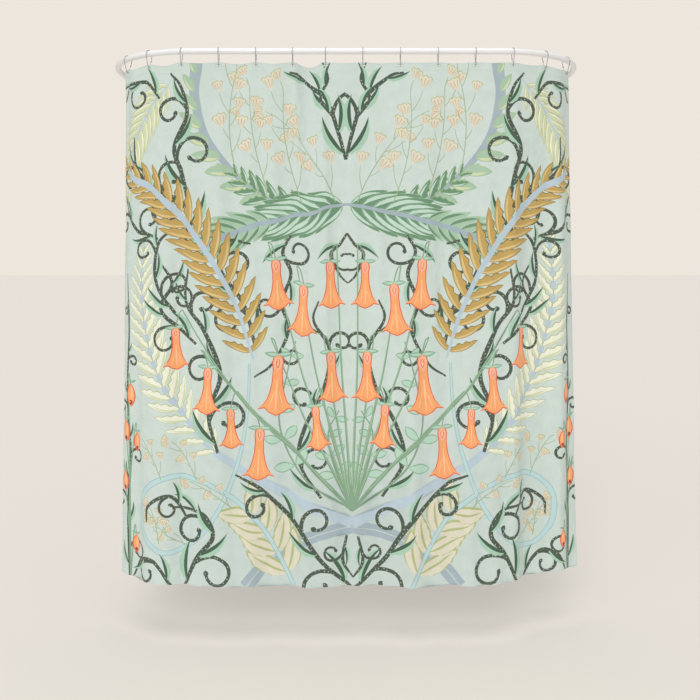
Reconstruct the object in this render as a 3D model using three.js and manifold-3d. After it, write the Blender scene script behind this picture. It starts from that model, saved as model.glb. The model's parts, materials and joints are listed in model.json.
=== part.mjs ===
// A printed fabric shower curtain hanging by wire rings from a U-shaped rail over a bath.
// Millimetres, +Z up, +X to the right, the curtain's face towards -Y. The wall is the plane Y = 0, and the
// origin is the middle of the left wall flange's back face, on the rail's axis.
import * as THREE from 'three';
import { mergeVertices } from 'three/addons/utils/BufferGeometryUtils.js';
import Module from 'manifold-3d';

// Kept between pieces that touch.
const clearance = 0.3;

// The rail: one bent tube in front, and a straight leg to the wall on each side.
const rail = {
  width: 1812,          // between the legs' axes
  depth: 800,           // from the wall to the front tube's axis
  bendRadius: 350,
  diameter: 22,
  wall: 1.2,
  sides: 12,
  bendSteps: 8,
};

// The sleeve inside the tube at each joint, and the grub screws that hold it from below.
const joiner = { length: 70, wall: 1.6, screwInset: 18, bendGap: 6 };
const grub = { radius: 2, length: 4.6 };

// The cast flanges that hold the legs to the wall.
const flange = {
  radius: 38,
  plate: 4,
  edge: 1.5,            // bevel of the plate's rim
  backWall: 3,          // metal behind the tube's end
  socketWall: 4,
  socketLength: 26,
  grubInset: 9,         // from the socket's mouth
  sides: 24,
};
const wallScrew = { count: 3, circleRadius: 27, shank: 2, head: 4.2, headHeight: 2.4, sides: 10 };

// The cloth, in its flat size, and how it hangs.
const cloth = {
  width: 1800,
  height: 1880,
  thickness: 1.5,
  belowRail: 40,        // from the rail's axis to the top edge, at a ring
  sideMargin: 20,       // from the side edge to the end buttonholes
  rowSteps: 8,
  gapSteps: 4,          // steps across the bowed part of a gap between two buttonholes
  sagShare: 0.72,       // the top edge's dip between two rings, as a share of its bow
};
const buttonhole = { count: 14, belowTop: 12, length: 16, flatBeside: 12 };

// How much shorter than the cloth each gap between rings is, from left to right.
const slacks = [11.4, 3.4, 1.4, 1.4, 3.4, 17.4, 1.4, 0.4, 0.4, 0.4, 0.4, 1.4, 3.4];
const curtainOffset = 11;     // of the rings' middle from the rail's middle

// The hem hangs in its own line, straight in front and swinging back at each end.
const hem = {
  offset: 26,           // of the hem's middle from the rail's middle
  left: { straight: 570, radius: 250, turn: 30 },
  right: { straight: 430, radius: 300, turn: 26 },
};

// The end stretches of the cloth, which bunch up when the end rings are drawn.
const endRings = 3;
const endStart = 25;          // past the last buttonhole of the middle stretch

// The wire rings.
const ring = {
  wire: 2.4,
  sideRoom: 3.8,        // between the tube and the wire beside it
  bightRoom: 3.05,      // between the cloth and the wire beside it
  closureShare: 0.3,    // the snap's place down the back side
  closureGap: 0.8,
  sides: 6,
  topSteps: 11,
  bightSteps: 7,
};

const tubeRadius = rail.diameter / 2;
const frontHalf = rail.width / 2 - rail.bendRadius;
const bendLength = rail.bendRadius * Math.PI / 2;
const stub = joiner.length / 2 + joiner.bendGap;     // straight end of the bent tube, past each bend
const socketRadius = tubeRadius + clearance + flange.socketWall;
const holePitch = (cloth.width - 2 * cloth.sideMargin) / (buttonhole.count - 1);
const holeHeight = ring.wire + 4 * clearance;

const paintedSteel = new THREE.MeshStandardMaterial({ color: 0xf2f0ea, roughness: 0.3, metalness: 0.1 });
const castFlange = new THREE.MeshStandardMaterial({ color: 0xefede7, roughness: 0.35, metalness: 0.1 });
const zincSteel = new THREE.MeshStandardMaterial({ color: 0xb9bbbc, roughness: 0.4, metalness: 0.9 });
const chromedWire = new THREE.MeshStandardMaterial({ color: 0x8d8f90, roughness: 0.2, metalness: 1 });
const printedPolyester = new THREE.MeshStandardMaterial({ color: 0xcad6d1, roughness: 0.85, metalness: 0 });

const wasm = await Module();
wasm.setup();

const curtain = new THREE.Group();
curtain.position.set(rail.width / 2, -rail.depth, 0);

function add(name, geometry, material) {
  const mesh = new THREE.Mesh(geometry, material);
  mesh.name = name;
  curtain.add(mesh);
  return mesh;
}

// A closed geometry as a solid that can be cut.
function solidOf(geometry) {
  const bare = geometry.clone();
  bare.deleteAttribute('normal');
  bare.deleteAttribute('uv');
  const merged = mergeVertices(bare, 1e-4);
  return new wasm.Manifold(new wasm.Mesh({
    numProp: 3,
    vertProperties: new Float32Array(merged.attributes.position.array),
    triVerts: new Uint32Array(merged.index.array),
  }));
}

function geometryOf(solid) {
  const mesh = solid.getMesh();
  const geometry = new THREE.BufferGeometry();
  geometry.setAttribute('position', new THREE.BufferAttribute(mesh.vertProperties, 3));
  geometry.setIndex(new THREE.BufferAttribute(mesh.triVerts, 1));
  return geometry;
}

function cut(geometry, tools) {
  let solid = solidOf(geometry);
  for (const tool of tools) {
    solid = solid.subtract(solidOf(tool));
  }
  return geometryOf(solid);
}

// The circumradius of a regular outline whose flats are at the given radius.
function around(radius, sides) {
  return radius / Math.cos(Math.PI / sides);
}

// A route through given points, with one section at each of them.
class Route extends THREE.Curve {
  constructor(points) {
    super();
    this.points = points;
  }

  getPoint(t) {
    const place = t * (this.points.length - 1);
    const first = Math.min(Math.floor(place), this.points.length - 2);
    return this.points[first].clone().lerp(this.points[first + 1], place - first);
  }

  getUtoTmapping(u) {
    return u;
  }
}

function outline(radius, sides) {
  const points = [];
  for (let i = 0; i < sides; i += 1) {
    const angle = 2 * Math.PI * i / sides;
    points.push(new THREE.Vector2(radius * Math.cos(angle), radius * Math.sin(angle)));
  }
  return points;
}

function along(points, shape) {
  const options = { steps: points.length - 1, extrudePath: new Route(points), bevelEnabled: false };
  return new THREE.ExtrudeGeometry(shape, options);
}

function tube(points, radius, wall) {
  const shape = new THREE.Shape(outline(radius, rail.sides));
  shape.holes.push(new THREE.Path(outline(radius - wall, rail.sides)));
  return along(points, shape);
}

// A place on the rail's axis, by its distance along the rail from the middle of the front.
function railPlace(distance) {
  const side = Math.sign(distance);
  const past = Math.max(Math.abs(distance) - frontHalf, 0);
  const turn = Math.min(past, bendLength) / rail.bendRadius;
  const back = Math.max(past - bendLength, 0);
  const front = Math.min(Math.abs(distance), frontHalf);
  return {
    x: side * (front + rail.bendRadius * Math.sin(turn)),
    y: rail.bendRadius * (1 - Math.cos(turn)) + back,
    heading: side * turn,
  };
}

// An upright cylinder below a tube, as a grub screw or as the hole for one.
function grubCylinder(x, y, top, radius, length) {
  const geometry = new THREE.CylinderGeometry(radius, radius, length, 8);
  geometry.rotateX(Math.PI / 2);
  geometry.translate(x, y, top - length / 2);
  return geometry;
}

// A hole for a grub screw through the underside of a tube or socket.
function grubHole(x, y, outside) {
  return grubCylinder(x, y, -grub.length / 2, grub.radius + clearance, outside);
}

const jointY = rail.bendRadius + stub;
const joinerScrewYs = [jointY - joiner.screwInset, jointY + joiner.screwInset];

function addRail() {
  const distances = [-(frontHalf + bendLength + stub)];
  for (let i = rail.bendSteps; i >= 0; i -= 1) {
    distances.push(-(frontHalf + bendLength * i / rail.bendSteps));
  }
  for (let i = 0; i <= rail.bendSteps; i += 1) {
    distances.push(frontHalf + bendLength * i / rail.bendSteps);
  }
  distances.push(frontHalf + bendLength + stub);
  const points = distances.map((distance) => {
    const place = railPlace(distance);
    return new THREE.Vector3(place.x, place.y, 0);
  });
  const holes = [-1, 1].map((side) => grubHole(side * rail.width / 2, joinerScrewYs[0], rail.diameter));
  add('rail_front', cut(tube(points, tubeRadius, rail.wall), holes), paintedSteel);
}

// One side's leg, with its joiner sleeve, flange and screws.
function addSide(name, side) {
  const x = side * rail.width / 2;
  const legEnd = rail.depth - flange.backWall - clearance;
  const leg = [new THREE.Vector3(x, jointY + clearance, 0), new THREE.Vector3(x, legEnd, 0)];
  const legHole = grubHole(x, joinerScrewYs[1], rail.diameter);
  add(`rail_leg_${name}`, cut(tube(leg, tubeRadius, rail.wall), [legHole]), paintedSteel);

  const sleeveRadius = (tubeRadius - rail.wall) * Math.cos(Math.PI / rail.sides) - clearance;
  const sleeve = [-1, 1].map((end) => new THREE.Vector3(x, jointY + end * joiner.length / 2, 0));
  const sleeveHoles = joinerScrewYs.map((y) => grubHole(x, y, rail.diameter));
  add(`rail_joiner_${name}`, cut(tube(sleeve, sleeveRadius, joiner.wall), sleeveHoles), zincSteel);
  joinerScrewYs.forEach((y, i) => {
    const screw = grubCylinder(x, y, grub.length - tubeRadius, grub.radius, grub.length);
    add(`joiner_screw_${name}_${i + 1}`, screw, zincSteel);
  });

  addFlange(name, x);
  addFlangeScrews(name, x);
}

function addFlange(name, x) {
  const bore = around(tubeRadius + clearance, flange.sides);
  const profile = [
    [0, -flange.backWall],
    [bore, -flange.backWall],
    [bore, -flange.socketLength],
    [socketRadius, -flange.socketLength],
    [socketRadius, -flange.plate],
    [flange.radius - flange.edge, -flange.plate],
    [flange.radius, flange.edge - flange.plate],
    [flange.radius, 0],
    [0, 0],
  ].map(([radius, y]) => new THREE.Vector2(radius, y));
  const body = new THREE.LatheGeometry(profile, flange.sides);
  body.translate(x, rail.depth, 0);
  const screwHoles = wallScrewPlaces(x).map(([screwX, screwZ]) => {
    const hole = new THREE.CylinderGeometry(
      wallScrew.shank + clearance, wallScrew.shank + clearance, 4 * flange.plate, wallScrew.sides);
    hole.translate(screwX, rail.depth, screwZ);
    return hole;
  });
  const grubY = rail.depth - flange.socketLength + flange.grubInset;
  const grubTool = grubHole(x, grubY, 2 * socketRadius);
  add(`${name}_wall_flange`, cut(body, [...screwHoles, grubTool]), castFlange);

  const length = socketRadius - tubeRadius - clearance;
  const screw = grubCylinder(x, grubY, -tubeRadius - clearance, grub.radius, length);
  add(`flange_grub_screw_${name}`, screw, zincSteel);
}

function wallScrewPlaces(x) {
  const places = [];
  for (let i = 0; i < wallScrew.count; i += 1) {
    const angle = Math.PI / 2 + 2 * Math.PI * i / wallScrew.count;
    places.push([x + wallScrew.circleRadius * Math.cos(angle), wallScrew.circleRadius * Math.sin(angle)]);
  }
  return places;
}

// Round-headed screws, drawn as far as the wall's face.
function addFlangeScrews(name, x) {
  const headBack = -flange.plate - clearance;
  const profile = [
    [0, headBack - wallScrew.headHeight],
    [wallScrew.head * 0.7, headBack - wallScrew.headHeight],
    [wallScrew.head, headBack - wallScrew.headHeight * 0.35],
    [wallScrew.head, headBack],
    [wallScrew.shank, headBack],
    [wallScrew.shank, -clearance],
    [0, -clearance],
  ].map(([radius, y]) => new THREE.Vector2(radius, y));
  wallScrewPlaces(x).forEach(([screwX, screwZ], i) => {
    const screw = new THREE.LatheGeometry(profile, wallScrew.sides);
    screw.translate(screwX, rail.depth, screwZ);
    add(`wall_screw_${name}_${i + 1}`, screw, zincSteel);
  });
}

// The rings' distances along the rail. Each gap is the cloth between two buttonholes, less its slack.
function ringDistances() {
  const gaps = [];
  for (let i = 0; i < buttonhole.count - 1; i += 1) {
    gaps.push(holePitch - slacks[i % slacks.length]);
  }
  const total = gaps.reduce((sum, gap) => sum + gap, 0);
  const distances = [curtainOffset - total / 2];
  for (const gap of gaps) {
    distances.push(distances[distances.length - 1] + gap);
  }
  return distances;
}

const ringPlaces = ringDistances();

// The pear-shaped route of a ring's wire, in the plane across the rail, open at its snap.
function ringRoute() {
  const topRadius = tubeRadius + ring.sideRoom + ring.wire / 2;
  const topZ = tubeRadius + clearance + ring.wire / 2 - topRadius;
  const bightRadius = cloth.thickness / 2 + ring.bightRoom + ring.wire / 2;
  const bightZ = bightRadius - cloth.belowRail - buttonhole.belowTop;
  const lean = Math.asin((topRadius - bightRadius) / (topZ - bightZ));
  const at = (z, radius, angle) => new THREE.Vector3(0, radius * Math.cos(angle), z + radius * Math.sin(angle));
  const arc = (z, radius, from, to, steps) => Array.from(
    { length: steps + 1 }, (_, i) => at(z, radius, from + (to - from) * i / steps));
  const top = arc(topZ, topRadius, -lean, Math.PI + lean, ring.topSteps);
  const bight = arc(bightZ, bightRadius, Math.PI + lean, 2 * Math.PI - lean, ring.bightSteps);
  const upper = top[0];
  const lower = bight[bight.length - 1];
  const snap = upper.clone().lerp(lower, ring.closureShare);
  const halfGap = upper.clone().sub(lower).setLength(ring.closureGap / 2);
  return [snap.clone().add(halfGap), ...top, ...bight, snap.clone().sub(halfGap)];
}

function addRings() {
  const wire = along(ringRoute(), new THREE.Shape(outline(ring.wire / 2, ring.sides)));
  ringPlaces.forEach((distance, i) => {
    const place = railPlace(distance);
    const hook = add(`hook_${String(i + 1).padStart(2, '0')}`, wire.clone(), chromedWire);
    hook.position.set(place.x, place.y, 0);
    hook.rotation.z = place.heading;
  });
}

// A place on the hem's line, by its distance along the hem from the cloth's middle.
function hemPlace(distance) {
  const shifted = distance + hem.offset;
  const side = Math.sign(shifted);
  const end = side < 0 ? hem.left : hem.right;
  const turnAll = end.turn * Math.PI / 180;
  const past = Math.max(Math.abs(shifted) - end.straight, 0);
  const turn = Math.min(past / end.radius, turnAll);
  const after = Math.max(past - end.radius * turnAll, 0);
  return {
    x: side * (Math.min(Math.abs(shifted), end.straight) + end.radius * Math.sin(turn) + after * Math.cos(turn)),
    y: end.radius * (1 - Math.cos(turn)) + after * Math.sin(turn),
    heading: side * turn,
  };
}

// A point of the cloth's middle layer, from its place across and down the flat cloth.
function clothPoint(across, down) {
  const fromFirst = (across + cloth.width / 2 - cloth.sideMargin) / holePitch;
  const gap = Math.min(Math.max(Math.floor(fromFirst), 0), buttonhole.count - 2);
  const share = fromFirst - gap;
  const inGap = share >= 0 && share <= 1;
  const gapLength = ringPlaces[gap + 1] - ringPlaces[gap];
  const flat = buttonhole.flatBeside / holePitch;
  const bowed = Math.min(Math.max((share - flat) / (1 - 2 * flat), 0), 1);
  const distance = inGap
    ? ringPlaces[gap] + share * gapLength
    : ringPlaces[gap + (share > 1 ? 1 : 0)] + (share > 1 ? share - 1 : share) * holePitch;
  const bowLength = gapLength - 2 * buttonhole.flatBeside;
  const bow = 2 * Math.sqrt(bowLength * (holePitch - gapLength)) / Math.PI / Math.hypot(1, cloth.sagShare);
  const swing = bow * Math.sin(Math.PI * bowed) * (gap % 2 ? 1 : -1);
  const sag = bow * cloth.sagShare * Math.sin(Math.PI * bowed);
  const fall = down / cloth.height;
  const top = railPlace(distance);
  const bottom = hemPlace(across);
  const heading = top.heading + (bottom.heading - top.heading) * fall;
  const offset = swing * (1 - fall);
  return {
    x: top.x + (bottom.x - top.x) * fall - offset * Math.sin(heading),
    y: top.y + (bottom.y - top.y) * fall + offset * Math.cos(heading),
    z: -cloth.belowRail - sag * (1 - fall) - down,
    heading,
  };
}

function holeAcross(i) {
  return cloth.sideMargin + i * holePitch - cloth.width / 2;
}

// The lines down the cloth where its solid may bend: at each buttonhole, beside it, and across the bow.
function clothColumns() {
  const columns = [];
  const bowStep = (holePitch - 2 * buttonhole.flatBeside) / cloth.gapSteps;
  for (let i = 0; i < buttonhole.count; i += 1) {
    columns.push(holeAcross(i));
    for (let step = 0; step <= cloth.gapSteps; step += 1) {
      columns.push(holeAcross(i) + buttonhole.flatBeside + bowStep * step);
    }
  }
  return columns;
}

// A stretch of the cloth as a thin closed solid, between two lines down it, with its buttonholes cut.
function addCloth(name, from, to, holes) {
  const columns = [from, ...clothColumns().filter((across) => across > from + 1 && across < to - 1), to];
  const rows = cloth.rowSteps;
  const positions = [];
  for (const face of [-1, 1]) {
    for (const across of columns) {
      for (let row = 0; row <= rows; row += 1) {
        const point = clothPoint(across, cloth.height * row / rows);
        const out = face * cloth.thickness / 2;
        positions.push(
          point.x - out * Math.sin(point.heading), point.y + out * Math.cos(point.heading), point.z);
      }
    }
  }
  const indices = [];
  const layer = columns.length * (rows + 1);
  const corner = (face, column, row) => face * layer + column * (rows + 1) + row;
  const quad = (a, b, c, d) => indices.push(a, b, c, a, c, d);
  for (let column = 0; column < columns.length - 1; column += 1) {
    for (let row = 0; row < rows; row += 1) {
      quad(corner(0, column, row), corner(0, column, row + 1),
        corner(0, column + 1, row + 1), corner(0, column + 1, row));
      quad(corner(1, column, row), corner(1, column + 1, row),
        corner(1, column + 1, row + 1), corner(1, column, row + 1));
    }
    quad(corner(0, column, 0), corner(0, column + 1, 0), corner(1, column + 1, 0), corner(1, column, 0));
    quad(corner(1, column, rows), corner(1, column + 1, rows),
      corner(0, column + 1, rows), corner(0, column, rows));
  }
  const last = columns.length - 1;
  for (let row = 0; row < rows; row += 1) {
    quad(corner(0, 0, row), corner(1, 0, row), corner(1, 0, row + 1), corner(0, 0, row + 1));
    quad(corner(1, last, row), corner(0, last, row), corner(0, last, row + 1), corner(1, last, row + 1));
  }
  const sheet = new THREE.BufferGeometry();
  sheet.setAttribute('position', new THREE.Float32BufferAttribute(positions, 3));
  sheet.setIndex(indices);

  const slits = holes.map((i) => {
    const place = railPlace(ringPlaces[i]);
    const slit = new THREE.BoxGeometry(buttonhole.length, 8 * cloth.thickness, holeHeight);
    slit.rotateZ(place.heading);
    slit.translate(place.x, place.y, -cloth.belowRail - buttonhole.belowTop);
    return slit;
  });
  add(name, cut(sheet, slits), printedPolyester);
}

function addCurtain() {
  const leftSplit = holeAcross(endRings) - endStart;
  const rightSplit = holeAcross(buttonhole.count - 1 - endRings) + endStart;
  const numbers = Array.from({ length: buttonhole.count }, (_, i) => i);
  const side = cloth.width / 2;
  addCloth('curtain_left_end', -side, leftSplit - clearance / 2, numbers.slice(0, endRings));
  addCloth('curtain_middle', leftSplit + clearance / 2, rightSplit - clearance / 2,
    numbers.slice(endRings, -endRings));
  addCloth('curtain_right_end', rightSplit + clearance / 2, side, numbers.slice(-endRings));
}

addRail();
addSide('left', -1);
addSide('right', 1);
addRings();
addCurtain();

export default curtain;
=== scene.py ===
"""A printed fabric shower curtain on a U-shaped rail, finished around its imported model."""
import json
import math

import bmesh
import bpy
import numpy as np
from mathutils import Matrix, Vector
from mathutils.geometry import delaunay_2d_cdt


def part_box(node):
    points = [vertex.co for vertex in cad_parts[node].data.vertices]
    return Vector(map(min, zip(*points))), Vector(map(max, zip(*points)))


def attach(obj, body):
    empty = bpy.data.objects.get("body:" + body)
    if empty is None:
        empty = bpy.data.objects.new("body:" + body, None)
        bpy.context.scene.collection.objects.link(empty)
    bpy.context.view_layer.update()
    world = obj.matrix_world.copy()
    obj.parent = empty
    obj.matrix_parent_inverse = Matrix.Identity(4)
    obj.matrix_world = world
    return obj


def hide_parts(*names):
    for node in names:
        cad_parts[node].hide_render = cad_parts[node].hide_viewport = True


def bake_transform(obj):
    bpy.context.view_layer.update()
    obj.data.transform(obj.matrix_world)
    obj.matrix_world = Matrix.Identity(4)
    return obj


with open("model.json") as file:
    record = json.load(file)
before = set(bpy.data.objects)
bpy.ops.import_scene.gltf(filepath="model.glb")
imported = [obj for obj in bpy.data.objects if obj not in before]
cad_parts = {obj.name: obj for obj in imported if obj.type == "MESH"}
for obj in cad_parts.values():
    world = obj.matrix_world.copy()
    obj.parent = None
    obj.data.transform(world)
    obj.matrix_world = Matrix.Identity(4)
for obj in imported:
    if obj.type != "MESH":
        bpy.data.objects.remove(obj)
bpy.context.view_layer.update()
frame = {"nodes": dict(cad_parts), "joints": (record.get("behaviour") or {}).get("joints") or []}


# ---- Camera ------------------------------------------------------------------------------------------------
# It stands in the room in front of the curtain, a little above half its height, and looks level at the wall,
# so the top edge and the hem curve away with the rail.
MM = 0.001
rail_low, rail_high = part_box("rail_front")
tube_radius = (rail_high.z - rail_low.z) / 2
rail_middle = (rail_low.x + rail_high.x) / 2
front_y = rail_low.y + tube_radius
camera_distance = 2.75
camera_offset = 0.016
camera_drop = 0.713

camera_data = bpy.data.cameras.new("camera")
camera_data.sensor_width = 36.0
camera_data.lens = 39.4
camera_data.shift_y = -0.143
camera = bpy.data.objects.new("camera", camera_data)
camera.location = (rail_middle + camera_offset, front_y - camera_distance, -camera_drop)
camera.rotation_euler = (math.radians(90), 0, 0)
bpy.context.collection.objects.link(camera)
bpy.context.scene.camera = camera


# ---- Studio ------------------------------------------------------------------------------------------------
# A warm off-white floor under an even backdrop of the same tone. The light is broad and soft: a key lamp in
# front, a weak one well to the left, and one overhead that fills the curtain's shadow on the floor.
def linear(hex_colour):
    """An sRGB hex colour as linear red, green, blue and full alpha."""
    values = [int(hex_colour[i:i + 2], 16) / 255 for i in (1, 3, 5)]
    return [v / 12.92 if v <= 0.04045 else ((v + 0.055) / 1.055) ** 2.4 for v in values] + [1.0]


def node(tree, kind, links=None, **settings):
    """Adds a node to a tree: its settings, then its sockets, by name or number, each a value or a link.

    A colour mix repeats its sockets' names, so it is set by number: 0 is the share, 6 and 7 the colours.
    """
    made = tree.nodes.new(kind)
    for name, value in settings.items():
        setattr(made, name, value)
    for socket, value in (links or {}).items():
        target = made.inputs[socket]
        if isinstance(value, bpy.types.NodeSocket):
            tree.links.new(value, target)
        else:
            target.default_value = value
    return made


def new_material(name):
    """A material with its principled shader, ready for its own settings."""
    made = bpy.data.materials.new(name)
    made.use_nodes = True
    return made, made.node_tree, made.node_tree.nodes["Principled BSDF"]


def new_piece(name, verts, faces, material, smooth=True):
    """A mesh piece at the origin, with its place in its mesh."""
    mesh = bpy.data.meshes.new(name)
    mesh.from_pydata([tuple(v) for v in verts], [], [tuple(f) for f in faces])
    mesh.materials.append(material)
    if smooth:
        mesh.shade_smooth()
    made = bpy.data.objects.new(name, mesh)
    bpy.context.collection.objects.link(made)
    return made


floor_level = -2.12
floor_reach = 40.0
# Matt emulsion with no shine, so the floor shows only a soft shadow.
floor_paint, tree, shader = new_material("warm_white_floor_paint")
shader.inputs["Base Color"].default_value = linear("#E4DFD8")
shader.inputs["Roughness"].default_value = 1.0
shader.inputs["Specular IOR Level"].default_value = 0.0
corners = [(rail_middle + x * floor_reach, front_y + y * floor_reach, floor_level)
           for x, y in ((-1, -1), (1, -1), (1, 1), (-1, 1))]
floor = new_piece("floor", corners, [(0, 1, 2, 3)], floor_paint)

world = bpy.data.worlds.new("studio")
bpy.context.scene.world = world
world.use_nodes = True
tree = world.node_tree
seen = node(tree, "ShaderNodeLightPath")
backdrop = node(tree, "ShaderNodeBackground", {"Color": linear("#EDE6DD"), "Strength": 1.0})
sky = tree.nodes["Background"]
sky.inputs["Color"].default_value = linear("#FFFDFB")
sky.inputs["Strength"].default_value = 0.50
either = node(tree, "ShaderNodeMixShader", {0: seen.outputs["Is Camera Ray"], 1: sky.outputs["Background"],
                                            2: backdrop.outputs["Background"]})
tree.links.new(either.outputs["Shader"], tree.nodes["World Output"].inputs["Surface"])


def soft_sun(name, turn, height, spread, strength):
    """A broad far lamp that turns to the left of straight ahead and stands at a height, in degrees."""
    data = bpy.data.lights.new(name, "SUN")
    data.angle = math.radians(spread)
    data.energy = strength
    lamp = bpy.data.objects.new(name, data)
    lamp.rotation_euler = (math.radians(90 - height), 0, math.radians(-turn))
    lamp.location = (rail_middle, front_y - 3, 3)
    bpy.context.collection.objects.link(lamp)


soft_sun("key_light", 8, 33, 35, 1.17)
soft_sun("side_light", 50, 22, 25, 0.18)
soft_sun("top_light", 0, 84, 45, 0.95)


# ---- Rail --------------------------------------------------------------------------------------------------
# One 22 mm steel tube bent back at both ends, with a straight leg sleeved on from each bend to the wall. They
# are drawn as solid bars, because no open end shows.
bends = {side: next(joint for joint in frame["joints"] if joint["name"] == f"{side}_end_draw")["pos_m"]
         for side in ("left", "right")}
bend_radius = bends["right"][1] - front_y
front_half = bends["right"][0] - rail_middle
bend_length = bend_radius * math.pi / 2

# White enamel, sprayed and stoved: smooth, with a soft gloss and a faint orange-peel of some 2.4 mm.
peel_size = 2.38 * MM
white_enamel, tree, shader = new_material("white_stoved_enamel")
shader.inputs["Base Color"].default_value = linear("#F0F0F2")
shader.inputs["Roughness"].default_value = 0.28
shader.inputs["Coat Weight"].default_value = 0.3
shader.inputs["Coat Roughness"].default_value = 0.12
place = node(tree, "ShaderNodeTexCoord")
peel = node(tree, "ShaderNodeTexNoise", {"Vector": place.outputs["Object"], "Scale": 1 / peel_size,
                                        "Detail": 1.5})
dip = node(tree, "ShaderNodeBump", {"Height": peel.outputs["Fac"], "Strength": 0.05, "Distance": 0.0004})
tree.links.new(dip.outputs["Normal"], shader.inputs["Normal"])


def rail_place(distance):
    """A place on the rail's axis and its heading, by the distance along it from the middle of the front."""
    side = math.copysign(1, distance)
    past = max(abs(distance) - front_half, 0.0)
    turn = min(past, bend_length) / bend_radius
    x = side * (min(abs(distance), front_half) + bend_radius * math.sin(turn))
    y = bend_radius * (1 - math.cos(turn)) + max(past - bend_length, 0.0)
    return Vector((rail_middle + x, front_y + y, 0.0)), side * turn


def interface_input(tree, name, kind, value):
    """A named input of a Geometry Nodes tree."""
    made = tree.interface.new_socket(name, in_out="INPUT", socket_type=kind)
    if value is not None:
        made.default_value = value


def sweep_tree():
    """A round bar along a curve, with closed ends: its radius, sides and material are inputs."""
    tree = bpy.data.node_groups.new("round_bar_along_curve", "GeometryNodeTree")
    interface_input(tree, "Geometry", "NodeSocketGeometry", None)
    interface_input(tree, "Radius", "NodeSocketFloat", 0.001)
    interface_input(tree, "Sides", "NodeSocketInt", 16)
    interface_input(tree, "Material", "NodeSocketMaterial", None)
    tree.interface.new_socket("Geometry", in_out="OUTPUT", socket_type="NodeSocketGeometry")
    given = node(tree, "NodeGroupInput")
    ring = node(tree, "GeometryNodeCurvePrimitiveCircle",
                {"Resolution": given.outputs["Sides"], "Radius": given.outputs["Radius"]})
    line = node(tree, "GeometryNodeMeshToCurve", {"Mesh": given.outputs["Geometry"]})
    bar = node(tree, "GeometryNodeCurveToMesh",
               {"Curve": line.outputs["Curve"], "Profile Curve": ring.outputs["Curve"], "Fill Caps": True})
    smooth = node(tree, "GeometryNodeSetShadeSmooth", {"Geometry": bar.outputs["Mesh"]})
    real = node(tree, "GeometryNodeRealizeInstances", {"Geometry": smooth.outputs["Geometry"]})
    dressed = node(tree, "GeometryNodeSetMaterial",
                   {"Geometry": real.outputs["Geometry"], "Material": given.outputs["Material"]})
    result = node(tree, "NodeGroupOutput")
    tree.links.new(dressed.outputs["Geometry"], result.inputs["Geometry"])
    return tree


def from_tree(name, tree, points, edges, **inputs):
    """Runs a Geometry Nodes tree on a line of points and keeps the result as a plain mesh piece."""
    mesh = bpy.data.meshes.new(name)
    mesh.from_pydata([tuple(p) for p in points], edges, [])
    made = bpy.data.objects.new(name, mesh)
    bpy.context.collection.objects.link(made)
    modifier = made.modifiers.new("tree", "NODES")
    modifier.node_group = tree
    for item in tree.interface.items_tree:
        if item.item_type == "SOCKET" and item.in_out == "INPUT" and item.name in inputs:
            modifier[item.identifier] = inputs[item.name]
    bpy.context.view_layer.update()
    evaluated = made.evaluated_get(bpy.context.evaluated_depsgraph_get())
    plain = bpy.data.meshes.new_from_object(evaluated)
    made.modifiers.remove(modifier)
    made.data = plain
    plain.name = name
    return made


def chain(count):
    """The edges of an open line of points."""
    return [(i, i + 1) for i in range(count - 1)]


round_bar = sweep_tree()
bend_steps = 48
front_steps = 8
tube_sides = 40
stub = rail_high.y - bends["right"][1]


def rail_points(first, last, steps):
    """Places on the rail's axis at even steps between two distances."""
    return [rail_place(first + (last - first) * i / steps)[0] for i in range(steps + 1)]


front_end = front_half + bend_length
points = (rail_points(-front_end - stub, -front_end, 1) + rail_points(-front_end, -front_half, bend_steps)[1:]
          + rail_points(-front_half, front_half, front_steps)[1:]
          + rail_points(front_half, front_end, bend_steps)[1:]
          + rail_points(front_end, front_end + stub, 1)[1:])
rail = from_tree("rail_tube", round_bar, points, chain(len(points)),
                 Radius=tube_radius, Sides=tube_sides, Material=white_enamel)
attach(rail, "root")
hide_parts("rail_front")

for side in ("left", "right"):
    low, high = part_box(f"rail_leg_{side}")
    axis_x = (low.x + high.x) / 2
    leg = from_tree(f"rail_leg_tube_{side}", round_bar, [(axis_x, low.y, 0), (axis_x, high.y, 0)], [(0, 1)],
                    Radius=tube_radius, Sides=tube_sides, Material=white_enamel)
    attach(leg, "root")
    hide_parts(f"rail_leg_{side}")


# ---- Flanges -----------------------------------------------------------------------------------------------
# A zinc die casting at each end of the rail: a round plate on the wall and a socket for the leg, with soft
# edges. It is sprayed with the same enamel as the tube.
def turned(name, profile, centre, sides, material):
    """A closed turned piece with its axis along Y through a centre, from (radius, y) pairs off the centre."""
    shape = bmesh.new()
    last = None
    for radius, y in profile:
        if radius == 0:
            ring = [shape.verts.new((centre.x, centre.y + y, centre.z))]
        else:
            ring = [shape.verts.new((centre.x + radius * math.cos(2 * math.pi * i / sides), centre.y + y,
                                     centre.z + radius * math.sin(2 * math.pi * i / sides)))
                    for i in range(sides)]
        if last is not None:
            for i in range(sides):
                corners = [last[i % len(last)], last[(i + 1) % len(last)],
                           ring[(i + 1) % len(ring)], ring[i % len(ring)]]
                shape.faces.new(list(dict.fromkeys(corners)))
        last = ring
    bmesh.ops.recalc_face_normals(shape, faces=shape.faces)
    mesh = bpy.data.meshes.new(name)
    shape.to_mesh(mesh)
    shape.free()
    mesh.materials.append(material)
    mesh.shade_smooth()
    made = bpy.data.objects.new(name, mesh)
    bpy.context.collection.objects.link(made)
    return made


def rounded(corner, towards, away, radius, steps=4):
    """The points of a fillet at a corner of a profile, between its neighbours' directions."""
    corner = Vector(corner)
    first = corner + (Vector(towards) - corner).normalized() * radius
    last = corner + (Vector(away) - corner).normalized() * radius
    return [tuple(first.lerp(corner, t).lerp(corner.lerp(last, t), t))
            for t in (i / steps for i in range(steps + 1))]


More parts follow.
